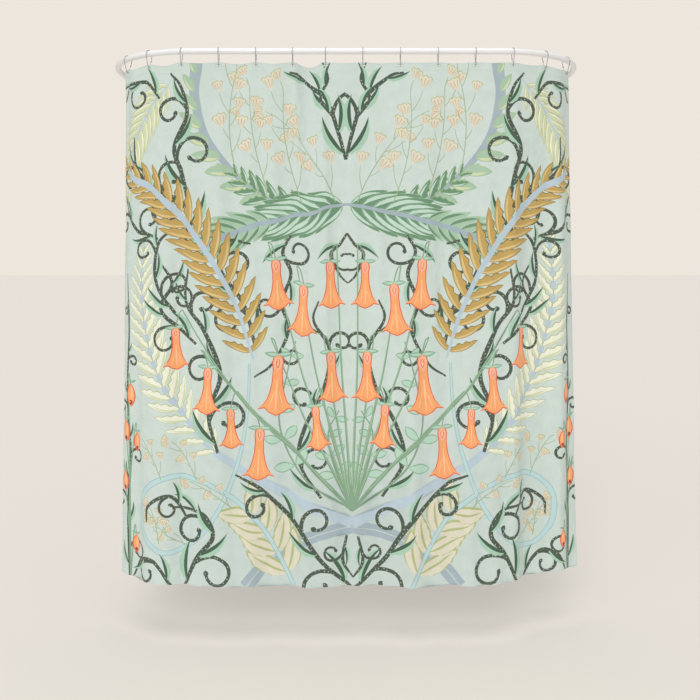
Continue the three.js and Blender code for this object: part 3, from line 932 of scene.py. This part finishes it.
ribbon(low_stalk, 44, 50, "slate")
ribbon(great_stalk, 40, 10, "sky")
for share in (0.3, 0.7):
    ribbon(low_stalk + 12 * (share - 0.5), 2.5, 2.5, "pool")
ribbon(top_arc, 8, 44, "slate")
frond(top_arc, 0.28, 0.95, 9, 105, 44, "fern_pale", "fern_edge", "lime", sides=(1,), lobes=3)
frond(top_arc, 0.02, 0.42, 8, 96, 30, "fern", "fern_edge", "fern_light", lobes=4)
frond(low_fern, 0.02, 0.5, 8, 190, 58, "fern", "fern_pale", "fern_light", lobes=6, spread=0.72)
frond(low_fern, 0.5, 0.97, 8, 150, 46, "fern_pale", "mist", "fern", lobes=0, spread=0.8, slim=0.3)
ribbon(low_fern, 10, 24, "slate")
frond(corner_stalk, 0.08, 0.98, 15, 120, 22, "lime", "lime_edge", "cream", lobes=4, spread=0.9)
ribbon(corner_stalk, 4, 10, "sky")

for start, heading, bend, reach in ((40 + 500j, -1.2, 0.5, 380), (170 + 500j, -1.15, -0.5, 400),
                                    (300 + 450j, -1.2, -0.4, 360), (420 + 360j, -1.35, -0.5, 330)):
    seed_spray(walk(start, heading, reach, bend, 9), 7, 92, 54)

# The great fronds that stand up at the sides.
frond(great_stalk, 0.40, 1.0, 18, 132, 30, "cream", "cream_edge", "lime", lobes=4, slim=0.25)
for i in range(4):
    place, heading = at(loop, 0.03 + 0.045 * i)
    for side in (-1, 1):
        angle = heading + side * (0.85 + 0.05 * i)
        leaf(place, angle, 170 - 14 * i, 62, "cream_edge", -side * 0.5, lobes=5, steps=11)
        leaf(place + 4j, angle, 162 - 14 * i, 52, "fan", -side * 0.5, lobes=5, steps=11)
        leaf(place + 4j, angle, 150 - 14 * i, 9, "cream_edge", -side * 0.5, steps=6)
ribbon(loop, 16, 9, "teal_edge", swell=8)
ribbon(loop, 11, 5, "teal", swell=8)

# Seed heads that follow the loops.
for start, heading, reach, bend in ((430 + 1600j, -0.75, 170, 0.4), (560 + 1500j, -1.1, 150, 0.2),
                                    (690 + 1500j, -1.2, 150, 0.3), (600 + 1740j, -0.35, 150, -0.6),
                                    (700 + 1735j, -1.5, 120, 0.3)):
    seed_spray(walk(start, heading, reach, bend, 6), 5, 52, 34)

# Dark vines that fill the ground between them: places, width, curls, blades, size and first side.
vines = [
    ((0 + 345j, 28 + 240j, 70 + 130j, 160 + 50j, 215 + 36j), 14, 1, 5, 165, 1),
    ((40 + 200j, 90 + 130j, 60 + 60j, 80 + 0j), 10, 0, 2, 110, -1),
    ((0 + 610j, 26 + 650j, 60 + 690j, 30 + 760j, 0 + 790j), 9, 1, 1, 105, -1),
    ((600 + 640j, 588 + 520j, 612 + 400j, 640 + 300j, 590 + 190j, 610 + 90j, 655 + 30j), 15, 3, 4, 170, -1),
    ((604 + 520j, 660 + 470j, 735 + 440j, 800 + 360j, 812 + 250j), 13, 2, 3, 140, 1),
    ((345 + 1020j, 385 + 870j, 470 + 740j, 440 + 640j, 360 + 650j), 14, 2, 3, 140, -1),
    ((215 + 620j, 245 + 680j, 215 + 760j, 250 + 860j, 225 + 960j, 285 + 1080j, 350 + 1130j),
     12, 3, 4, 115, -1),
    ((110 + 1560j, 190 + 1430j, 165 + 1300j, 95 + 1170j, 70 + 1030j, 130 + 920j, 110 + 850j),
     13, 3, 5, 125, 1),
    ((480 + 1400j, 515 + 1260j, 470 + 1120j, 530 + 960j, 600 + 860j, 590 + 740j), 15, 3, 5, 155, 1),
    ((560 + 1010j, 620 + 960j, 690 + 880j, 650 + 790j, 700 + 700j), 12, 2, 3, 125, -1),
    ((0 + 1890j, 110 + 1790j, 210 + 1650j, 330 + 1530j, 420 + 1480j), 15, 3, 4, 150, -1),
    ((20 + 1700j, 36 + 1790j, 0 + 1850j), 10, 1, 1, 80, 1),
    ((610 + 1890j, 560 + 1780j, 500 + 1700j, 540 + 1620j, 650 + 1600j), 15, 2, 4, 160, 1),
    ((600 + 1640j, 660 + 1560j, 740 + 1600j, 750 + 1660j), 11, 1, 1, 90, -1),
    ((650 + 1890j, 720 + 1800j, 790 + 1810j, 835 + 1880j), 12, 1, 2, 105, -1),
    ((850 + 1880j, 858 + 1650j, 846 + 1420j, 862 + 1180j, 850 + 960j, 866 + 760j), 11, 6, 7, 100, 1),
    ((700 + 630j, 790 + 600j, 850 + 540j, 885 + 470j), 12, 2, 2, 110, 1),
    ((640 + 900j, 712 + 780j, 700 + 650j, 640 + 590j), 12, 2, 3, 120, 1),
    ((700 + 120j, 760 + 60j, 850 + 60j, 890 + 120j), 11, 1, 3, 110, -1),
]
for line, width, curls, blades, size, first_side in vines:
    vine(spline(*line), width, curls, blades, size, first_side)

# The ochre ferns that arch over the flowers.
frond(ochre_stalk, 0.03, 1.0, 18, 150, 34, "ochre", "ochre_edge", "ochre_light", lobes=4, slim=0.42)
ribbon(ochre_stalk, 8, 22, "sky", swell=6)

# Bell flowers on long stems that fan out from the crossing, and the leafy sprigs between them.
sprig(spline(root_place, 60 + 1450j, 80 + 1330j, 40 + 1250j), 4, 66)
sprig(spline(root_place, 180 + 1480j, 260 + 1300j, 230 + 1110j, 200 + 1000j), 5, 76)
# Each bell's tip across and down, its lean and its length.
bells = [(64, 712, 0.02, 158), (166, 790, -0.05, 176), (270, 700, 0.06, 172), (66, 1035, 0.03, 172),
         (262, 1045, -0.05, 205), (128, 1225, 0.08, 150), (330, 1310, -0.04, 176), (436, 1240, 0.03, 134),
         (515, 1090, -0.05, 160), (640, 950, 0.04, 142)]
for x, y, lean_angle, size in bells:
    tip = complex(x, y)
    rise = tip - 60j + 26 * (1 if x % 4 else -1)
    middle = root_place + (rise - root_place) * 0.5 + 0.16 * x - 60j
    stem = spline(root_place, root_place + (middle - root_place) * 0.5 - 12j, middle, rise, steps=6)
    ribbon(stem, 11, 4.5, "sage")
    ribbon(stem[2:] - 1.5, 2.5, 1.2, "sage_light")
    ribbon(spline(rise, (rise + tip) / 2 - 18j, tip, steps=5), 4.5, 4, "sage")
for x, y, lean_angle, size in bells:
    bell(complex(x, y), size, lean_angle)

# Coral buds on upright stems at the lower edges.
for x, y, size in ((842, 1160, 84), (812, 1340, 66), (868, 1300, 80), (874, 1490, 74), (820, 1720, 66)):
    stem = spline(complex(846, 1880), complex(850, y + 230), complex(x + 10, y - 20), complex(x, y), steps=6)
    ribbon(stem, 7, 3.5, "sage")
    leaf(complex(x, y), math.pi / 2, size + 7, size * 0.46 + 7, "coral_edge", 0.05, fullness=1.1)
    leaf(complex(x, y + 3), math.pi / 2, size, size * 0.42, "coral", 0.05, fullness=1.1)
    leaf(complex(x - 4, y + 12), math.pi / 2, size * 0.7, size * 0.12, "coral_light", 0, steps=5)
    leaf(complex(x, y + size * 0.76), math.pi / 2, size * 0.24, size * 0.2, "bud_mouth", 0, steps=5)
    for side in (-1, 1):
        leaf(complex(x, y), math.pi / 2 + side * 2.0, size * 0.34, size * 0.12, "sprig_edge", 0, steps=5)


# ---- Curtain -----------------------------------------------------------------------------------------------
# The printed cloth: all polyester in a plain weave, 0.4 mm thick, with narrow double hems turned to the back
# and a deeper heading. It is one sheet, made here as two halves that meet in the middle.
cloth_half = 0.2 * MM
hem_half = 0.55 * MM
hem_depth = 10.0
heading_depth = 30.0
hem_slope = 1.2
merge_distance = 0.02
straight_slip = 0.35
straight_rounds = 4


def slit_outline(middle, steps=6):
    """The outline of a buttonhole's slit round its middle, in mm, with round ends."""
    half_height = hole_height / MM / 2
    ends = hole_length / MM / 2 - half_height
    turn = half_height * np.exp(1j * np.linspace(-math.pi / 2, math.pi / 2, steps + 1))
    return [complex(p) for p in (*(middle + ends + turn), *(middle - ends - turn))]


def split_by_shapes():
    """Every crossing of the painted shapes: places, triangles, and the top ink of each triangle."""
    points = [0, half_width, half_width + full_height * 1j, full_height * 1j]
    faces = [[0, 1, 2, 3]]
    inner = half_width - hem_depth
    foot = full_height - hem_depth
    edges = []
    for slope in (0.0, hem_slope):
        corners = [(heading_depth + slope) * 1j, inner - slope + (heading_depth + slope) * 1j,
                   inner - slope + (foot - slope) * 1j, (foot - slope) * 1j]
        edges += [(len(points) + k, len(points) + k + 1) for k in range(3)]
        points += corners
    faces += [[len(points) + k for k in face] for face in print_faces]
    points += print_points
    slits = len(faces)
    for i in range(hole_count // 2):
        outline = slit_outline(half_width + (hole_below_top * 1j - side_margin - i * hole_pitch) / MM)
        faces.append(list(range(len(points), len(points) + len(outline))))
        points += outline
    flat = [Vector((p.real, p.imag)) for p in map(complex, points)]
    verts, lines, made, _, line_origins, origins = delaunay_2d_cdt(flat, edges, faces, 1,
                                                                   merge_distance, True)
    verts = np.array([complex(*v) for v in verts])
    made = np.array(made)
    middles = verts[made].mean(axis=1)
    corners = np.array([[points[k] for k in face] for face in faces[1:slits]])

    def covered(shape, middle):
        """Whether places lie inside painted triangles, pair by pair."""
        a, b, c = (corners[shape, k] for k in range(3))
        turns = [((end - start).conjugate() * (middle - start)).imag
                 for start, end in ((a, b), (b, c), (c, a))]
        return np.min(turns, axis=0) > 0

    pair_face = np.repeat(np.arange(len(made)), [len(origin) for origin in origins])
    pair_shape = np.concatenate([np.array(origin) for origin in origins])
    in_slit = np.zeros(len(made), bool)
    in_slit[pair_face[pair_shape >= slits]] = True
    painted = (pair_shape > 0) & (pair_shape < slits)
    pair_face, pair_shape = pair_face[painted], pair_shape[painted] - 1
    true_pair = covered(pair_shape, middles[pair_face])
    top = np.full(len(made), -1)
    np.maximum.at(top, pair_face[true_pair], pair_shape[true_pair])
    for shape in np.unique(pair_shape[~true_pair]):
        under = covered(np.full(len(made), shape), middles)
        top[under] = np.maximum(top[under], shape)
    outside = ((middles.real < 0) | (middles.real > half_width)
               | (middles.imag < 0) | (middles.imag > full_height))
    ink = np.where(outside | in_slit, -1, np.where(top < 0, 0, np.array(print_inks)[top]))
    folds = {tuple(sorted(line)) for line, origin in zip(lines, line_origins)
             if any(k < len(edges) for k in origin)}
    return verts, made, ink, folds


def straightened(verts, lines, side_inks):
    """Drops places that lie within a slip of the line between their two neighbours."""
    edges = {frozenset(line): (line, sides) for line, sides in zip(lines, side_inks)}
    beside = {}
    for a, b in lines:
        beside.setdefault(a, set()).add(b)
        beside.setdefault(b, set()).add(a)
    for _ in range(straight_rounds):
        fixed = set()
        for v in list(beside):
            if len(beside[v]) != 2 or v in fixed:
                continue
            a, b = beside[v]
            if frozenset((a, b)) in edges or a in fixed or b in fixed:
                continue
            step = verts[b] - verts[a]
            off = (step.conjugate() * (verts[v] - verts[a])).imag / max(abs(step), tiny)
            (start, _), (left, right) = edges[frozenset((a, v))]
            first = (left, right) if start == a else (right, left)
            (start, _), (left, right) = edges[frozenset((v, b))]
            second = (left, right) if start == v else (right, left)
            if abs(off) > straight_slip or first != second:
                continue
            del edges[frozenset((a, v))], edges[frozenset((v, b))]
            edges[frozenset((a, b))] = ((a, b), first)
            del beside[v]
            beside[a].remove(v), beside[b].remove(v)
            beside[a].add(b), beside[b].add(a)
            fixed.update((a, b))
    return [line for line, _ in edges.values()], [sides for _, sides in edges.values()]


def printed_sheet():
    """The right half's flat pattern: places in mm, triangles, and the ink of each, without the slits."""
    verts, made, ink, folds = split_by_shapes()
    starts = made.ravel()
    ends = made[:, [1, 2, 0]].ravel()
    owner = {(a, b): k // 3 for k, (a, b) in enumerate(zip(starts.tolist(), ends.tolist()))}
    kept, side_inks = [], []
    for (a, b), left in owner.items():
        right = owner.get((b, a))
        right_ink = -1 if right is None else ink[right]
        if (a < b or right is None) and (ink[left] != right_ink or tuple(sorted((a, b))) in folds):
            kept.append((a, b))
            side_inks.append((ink[left], right_ink))
    kept, side_inks = straightened(verts, kept, side_inks)
    used, fresh = np.unique(np.array(kept), return_inverse=True)
    edges = fresh.reshape(-1, 2)
    inner, foot, below = half_width - hem_depth, full_height - hem_depth, heading_depth + hem_slope
    fine_depth = 80
    grid_x = np.concatenate([np.linspace(0, inner - hem_slope, 76), [inner, half_width]])
    grid_y = np.concatenate([np.linspace(0, heading_depth, 6), np.linspace(below, fine_depth, 7)[:-1],
                             np.linspace(fine_depth, foot - hem_slope, 116), [foot, full_height]])
    grid = [complex(x, y) for x in grid_x for y in grid_y]
    points = np.concatenate([verts[used], grid])
    flat = [Vector((p.real, p.imag)) for p in points]
    verts, lines, faces, _, origins, _ = delaunay_2d_cdt(flat, edges.tolist(), [], 0, merge_distance, True)
    verts = np.array([complex(*v) for v in verts])
    known = {}
    for (a, b), origin in zip(lines, origins):
        if origin:
            start, end = points[edges[origin[0]]]
            same = ((end - start).conjugate() * (verts[b] - verts[a])).real > 0
            left, right = side_inks[origin[0]]
            known[(a, b)], known[(b, a)] = (left, right) if same else (right, left)
    faces = [list(face) for face in faces]
    owner = {(face[k], face[(k + 1) % 3]): i for i, face in enumerate(faces) for k in range(3)}
    face_ink = [next((known[side] for side in zip(face, face[1:] + face[:1]) if side in known), None)
                for face in faces]
    waiting = [i for i, value in enumerate(face_ink) if value is not None]
    while waiting:
        i = waiting.pop()
        face = faces[i]
        for a, b in zip(face, face[1:] + face[:1]):
            beside = owner.get((b, a))
            if beside is not None and (a, b) not in known and face_ink[beside] is None:
                face_ink[beside] = face_ink[i]
                waiting.append(beside)
    keep = [i for i, value in enumerate(face_ink) if value is not None and value >= 0]
    used, fresh = np.unique(np.array([faces[i] for i in keep]), return_inverse=True)
    places = np.stack([verts[used].real, verts[used].imag], axis=1)
    return places, fresh.reshape(-1, 3), np.array([face_ink[i] for i in keep])


def boundary_loops(faces):
    """The open edges of a sheet of triangles, each in its face's direction."""
    sides = np.concatenate([faces[:, [0, 1]], faces[:, [1, 2]], faces[:, [2, 0]]])
    known = {(a, b) for a, b in sides.tolist()}
    return [(a, b) for a, b in known if (b, a) not in known]


flat_places, flat_faces, flat_inks = printed_sheet()
flat_edges = boundary_loops(flat_faces)
fold_slack = 0.1
in_hem = ((flat_places[:, 0] > half_width - hem_depth - fold_slack)
          | (flat_places[:, 1] < heading_depth + fold_slack)
          | (flat_places[:, 1] > full_height - hem_depth - fold_slack))


# Woven polyester, calendered and printed: matt, with a soft sheen along the folds and threads that vary a
# little. The real threads lie about 0.15 mm apart, too fine to show, so they are drawn 1.1 mm apart.
thread_pitch = 1.11 * MM
slub_length = 28.6 * MM
wash_size = 45.5 * MM
dot_pitch = 15.15 * MM
dot_core, dot_edge = 1.67 * MM, 2.42 * MM


def weave_nodes(tree, shader):
    """Plain weave with slubs, in the cloth's own flat coordinates: a bump and a slight unevenness."""
    flat = node(tree, "ShaderNodeUVMap", uv_map="flat_cloth")
    wide = node(tree, "ShaderNodeMapping", {"Vector": flat.outputs["UV"],
                                            "Scale": (1 / slub_length, 1 / thread_pitch, 1.0)})
    tall = node(tree, "ShaderNodeMapping", {"Vector": flat.outputs["UV"],
                                            "Scale": (1 / thread_pitch, 1 / slub_length, 1.0)})
    weft = node(tree, "ShaderNodeTexNoise", {"Vector": wide.outputs["Vector"], "Scale": 1.0, "Detail": 2.0})
    warp = node(tree, "ShaderNodeTexNoise", {"Vector": tall.outputs["Vector"], "Scale": 1.0, "Detail": 2.0})
    threads = node(tree, "ShaderNodeMath", {0: weft.outputs["Fac"], 1: warp.outputs["Fac"]}, operation="ADD")
    dip = node(tree, "ShaderNodeBump", {"Height": threads.outputs["Value"], "Strength": 0.22,
                                        "Distance": 0.0004})
    tree.links.new(dip.outputs["Normal"], shader.inputs["Normal"])
    matt = node(tree, "ShaderNodeMapRange", {"Value": threads.outputs["Value"], "From Max": 2.0,
                                             "To Min": 0.66, "To Max": 0.9})
    tree.links.new(matt.outputs["Result"], shader.inputs["Roughness"])
    return flat, threads


def cloth_material(name, dye):
    """The woven polyester: dye is how much of the print's strength shows on this side."""
    made, tree, shader = new_material(name)
    shader.inputs["Sheen Weight"].default_value = 0.12
    shader.inputs["Sheen Roughness"].default_value = 0.45
    shader.inputs["Specular IOR Level"].default_value = 0.35
    flat, threads = weave_nodes(tree, shader)
    ink = node(tree, "ShaderNodeVertexColor", layer_name="print_ink")
    wash = node(tree, "ShaderNodeTexNoise", {"Vector": flat.outputs["UV"], "Scale": 1 / wash_size,
                                             "Detail": 4.0})
    brush = node(tree, "ShaderNodeMapRange", {"Value": wash.outputs["Fac"], "From Min": 0.3, "From Max": 0.7,
                                              "To Min": 0.965, "To Max": 1.03})
    uneven = node(tree, "ShaderNodeMapRange", {"Value": threads.outputs["Value"], "From Min": 0.6,
                                               "From Max": 1.4, "To Min": 0.95, "To Max": 1.05})
    tone = node(tree, "ShaderNodeMath", {0: brush.outputs["Result"], 1: uneven.outputs["Result"]},
                operation="MULTIPLY")
    toned = node(tree, "ShaderNodeVectorMath", {0: ink.outputs["Color"]}, operation="SCALE")
    tree.links.new(tone.outputs["Value"], toned.inputs["Scale"])
    dots = node(tree, "ShaderNodeTexVoronoi", {"Vector": flat.outputs["UV"], "Scale": 1 / dot_pitch,
                                               "Randomness": 0.5}, voronoi_dimensions="2D")
    dot = node(tree, "ShaderNodeMapRange", {"Value": dots.outputs["Distance"], "To Min": 0.9, "To Max": 0.0,
                                            "From Min": dot_core / dot_pitch,
                                            "From Max": dot_edge / dot_pitch})
    chalk = node(tree, "ShaderNodeMath", {0: dot.outputs["Result"], 1: ink.outputs["Alpha"]},
                 operation="MULTIPLY")
    dotted = node(tree, "ShaderNodeMix", {0: chalk.outputs["Value"], 6: toned.outputs["Vector"],
                                          7: linear("#BECAB8")}, data_type="RGBA")
    bare = node(tree, "ShaderNodeMix", {0: dye, 6: linear("#E4E6E2"), 7: dotted.outputs[2]},
                data_type="RGBA")
    tree.links.new(bare.outputs[2], shader.inputs["Base Color"])
    return made


# The dye is on the face, and a paler ghost of it shows on the reverse.
printed_face = cloth_material("woven_polyester_printed_face", 1.0)
printed_reverse = cloth_material("woven_polyester_reverse", 0.5)


# The ground turns greyer in a broad soft patch low in the middle of the sheet.
pool_middle, pool_half_width, pool_half_height = 1640, 560, 300


def ink_colours(places, ink):
    """The linear colour of one face's ink at its corners, the ground greyer in a soft patch low in the
    middle, with its share of chalk dots as alpha.
    """
    name = ink_names[ink]
    colour = np.tile(np.array(linear(inks[name])), (len(places), 1))
    if name == "ground":
        pool = np.exp(-(places[:, 0] / pool_half_width) ** 2
                      - ((places[:, 1] - pool_middle) / pool_half_height) ** 2)
        colour = colour + (np.array(linear(inks["pool"])) - colour) * pool[:, None]
    colour[:, 3] = 1.0 if name in speckled else 0.0
    return colour


corner_inks = np.array([ink_colours(flat_places[face], ink) for face, ink in zip(flat_faces, flat_inks)])
# Where the two faces and the rim lie on the baking map, across.
map_start, map_width, reverse_shift = 0.005, 0.48, 0.49
rim_map = (0.984, 0.997)


def half_curtain(name, side):
    """One half of the cloth as a closed sheet: its printed face, its reverse and a thin rim."""
    count = len(flat_places)
    place, normal = on_cloth(side * flat_places[:, 0] * MM, flat_places[:, 1] * MM)
    half = np.where(in_hem, hem_half, cloth_half)[:, None]
    face_order = flat_faces[:, ::-1] if side > 0 else flat_faces
    colours = corner_inks[:, ::-1] if side > 0 else corner_inks
    rim_edges = np.array([(b, a) if side > 0 else (a, b) for a, b in flat_edges])
    rim = np.concatenate([rim_edges[:, ::-1], rim_edges + count], axis=1)
    back_order = face_order[:, ::-1] + count
    verts = np.concatenate([place + normal * half, place - normal * half])
    faces = face_order.tolist() + back_order.tolist() + rim.tolist()
    made = new_piece(name, verts, faces, printed_face)
    mesh = made.data
    mesh.materials.append(printed_reverse)
    folded = in_hem[flat_faces].all(axis=1)
    slots = np.concatenate([np.zeros(len(flat_faces)), np.where(folded, 0, 1), np.zeros(len(rim))])
    mesh.polygons.foreach_set("material_index", slots.astype(np.int32))

    hem_ink = np.tile(np.array(linear(inks["ground"])), (len(rim) * 4, 1))
    hem_ink[:, 3] = 0.0
    colour = np.concatenate([colours.reshape(-1, 4), colours[:, ::-1].reshape(-1, 4), hem_ink])
    layer = mesh.color_attributes.new("print_ink", "FLOAT_COLOR", "CORNER")
    layer.data.foreach_set("color", colour.astype(np.float32).ravel())

    flat = np.concatenate([flat_places[face_order.ravel()], flat_places[face_order[:, ::-1].ravel()],
                           flat_places[(rim % count).ravel()]])
    own = mesh.uv_layers.new(name="flat_cloth")
    own.data.foreach_set("uv", (flat * (side * MM, MM)).astype(np.float32).ravel())
    baked = flat / (half_width, -full_height) * (map_width, 1.0) + (map_start, 1.0)
    reverse = len(flat_faces) * 3
    baked[reverse:2 * reverse, 0] += reverse_shift
    step = np.arange(len(rim))[:, None] / len(rim) + np.array([1, 0, 0, 1]) / len(rim)
    baked[2 * reverse:] = np.stack([np.tile([rim_map[0], rim_map[0], rim_map[1], rim_map[1]], len(rim)),
                                    step.ravel()], axis=1)
    bake = mesh.uv_layers.new(name="OFBake")
    bake.data.foreach_set("uv", baked.astype(np.float32).ravel())
    mesh.normals_split_custom_set_from_vertices(np.concatenate([normal, -normal]).tolist())
    return made


# ---- Stitching ---------------------------------------------------------------------------------------------
# Lockstitch in pale thread along the hems and the top heading, 3 mm to a stitch, on both faces, and a close
# satin stitch round each buttonhole.

# Spun polyester thread: soft and matt, with a twist that shades it along its length.
twist_size = 0.667 * MM
thread, tree, shader = new_material("spun_polyester_thread")
shader.inputs["Roughness"].default_value = 0.6
shader.inputs["Sheen Weight"].default_value = 0.3
place = node(tree, "ShaderNodeTexCoord")
twist = node(tree, "ShaderNodeTexNoise", {"Vector": place.outputs["Object"], "Scale": 1 / twist_size,
                                         "Detail": 1.0})
shade = node(tree, "ShaderNodeMix", {0: twist.outputs["Fac"], 6: linear("#A9B8AE"), 7: linear("#CBD8D1")},
             data_type="RGBA")
tree.links.new(shade.outputs[2], shader.inputs["Base Color"])


def stitch_tree():
    """Stitches of one length at an even pitch along lines, each a small spindle of thread."""
    tree = bpy.data.node_groups.new("stitches_along_lines", "GeometryNodeTree")
    interface_input(tree, "Geometry", "NodeSocketGeometry", None)
    interface_input(tree, "Pitch", "NodeSocketFloat", 0.003)
    interface_input(tree, "Stitch", "NodeSocketVector", None)
    interface_input(tree, "Material", "NodeSocketMaterial", None)
    tree.interface.new_socket("Geometry", in_out="OUTPUT", socket_type="NodeSocketGeometry")
    given = node(tree, "NodeGroupInput")
    line = node(tree, "GeometryNodeMeshToCurve", {"Mesh": given.outputs["Geometry"]})
    points = node(tree, "GeometryNodeCurveToPoints",
                  {"Curve": line.outputs["Curve"], "Length": given.outputs["Pitch"]}, mode="LENGTH")
    ball = node(tree, "GeometryNodeMeshUVSphere", {"Segments": 6, "Rings": 4, "Radius": 1.0})
    copies = node(tree, "GeometryNodeInstanceOnPoints",
                  {"Points": points.outputs["Points"], "Instance": ball.outputs["Mesh"],
                   "Rotation": points.outputs["Rotation"], "Scale": given.outputs["Stitch"]})
    real = node(tree, "GeometryNodeRealizeInstances", {"Geometry": copies.outputs["Instances"]})
    dressed = node(tree, "GeometryNodeSetMaterial",
                   {"Geometry": real.outputs["Geometry"], "Material": given.outputs["Material"]})
    result = node(tree, "NodeGroupOutput")
    tree.links.new(dressed.outputs["Geometry"], result.inputs["Geometry"])
    return tree


stitches_on_lines = stitch_tree()
stitch_pitch = 3.0 * MM
stitch_size = (0.32 * MM, 0.32 * MM, 1.15 * MM)
stitch_lift = 0.1 * MM
edge_seam, fold_seam, hem_seam, seam_end = 3, 2, 7.5, 4
station_pitch = 9
stitch_rows = [((0, half_width - edge_seam), (heading_depth - fold_seam, heading_depth - fold_seam)),
               ((0, half_width - edge_seam), (edge_seam, edge_seam)),
               ((0, half_width - edge_seam), (full_height - hem_seam, full_height - hem_seam)),
               ((half_width - hem_seam, half_width - hem_seam), (seam_end, full_height - seam_end))]


def hem_stitches(name, side):
    """Both faces' stitches of one half's hems and heading."""
    points, edges = [], []
    for (x0, x1), (y0, y1) in stitch_rows:
        count = int(max(x1 - x0, y1 - y0) / station_pitch)
        share = np.linspace(0, 1, count + 1)
        place, normal = on_cloth(side * (x0 + (x1 - x0) * share) * MM, (y0 + (y1 - y0) * share) * MM)
        for face in (-1, 1):
            start = len(points)
            points += (place + face * normal * (hem_half + stitch_lift)).tolist()
            edges += [(start + i, start + i + 1) for i in range(count)]
    return from_tree(name, stitches_on_lines, points, edges,
                     Pitch=stitch_pitch, Stitch=stitch_size, Material=thread)


bar_count = 56
bar_radius = 0.3 * MM
bar_length = 1.5 * MM
bar_lift = 0.12 * MM


def buttonhole_stitches(name, side):
    """The satin stitch round one half's slits: short bars of thread side by side on both faces."""
    points, edges = [], []
    half_length = hole_length / 2
    half_height = hole_height / 2
    ends = half_length - half_height
    for i in range(hole_count // 2):
        middle = cloth_width / 2 - side_margin - i * hole_pitch
        for k in range(bar_count):
            loop = k / bar_count * (4 * ends + 2 * math.pi * half_height)
            if loop < 2 * ends:
                foot, out = (loop - ends) - half_height * 1j, -1j
            elif loop < 2 * ends + math.pi * half_height:
                out = np.exp(1j * ((loop - 2 * ends) / half_height - math.pi / 2))
                foot = ends + half_height * out
            elif loop < 4 * ends + math.pi * half_height:
                foot, out = ends - (loop - 2 * ends - math.pi * half_height) + half_height * 1j, 1j
            else:
                out = np.exp(1j * ((loop - 4 * ends - math.pi * half_height) / half_height + math.pi / 2))
                foot = -ends + half_height * out
            pair = np.array([foot, foot + bar_length * out]) + middle + hole_below_top * 1j
            place, normal = on_cloth(side * pair.real, pair.imag)
            for face in (-1, 1):
                start = len(points)
                points += (place + face * normal * (hem_half + bar_lift)).tolist()
                edges.append((start, start + 1))
    return from_tree(name, round_bar, points, edges, Radius=bar_radius, Sides=5, Material=thread)


halves = ((1, "right", "hook_11", "hook_14"), (-1, "left", "hook_04", "hook_01"))
for side, word, first_ring, end_ring in halves:
    sheet = half_curtain(f"curtain_{word}_half", side)
    sewing = hem_stitches(f"hem_stitches_{word}", side)
    bars = buttonhole_stitches(f"buttonhole_stitches_{word}", side)
    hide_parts(f"curtain_{word}_end", "curtain_middle")
    for piece in (sheet, sewing, bars):
        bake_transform(piece)


# The inks come out as they are written, with no film-like roll-off.
bpy.context.scene.view_settings.view_transform = "Standard"
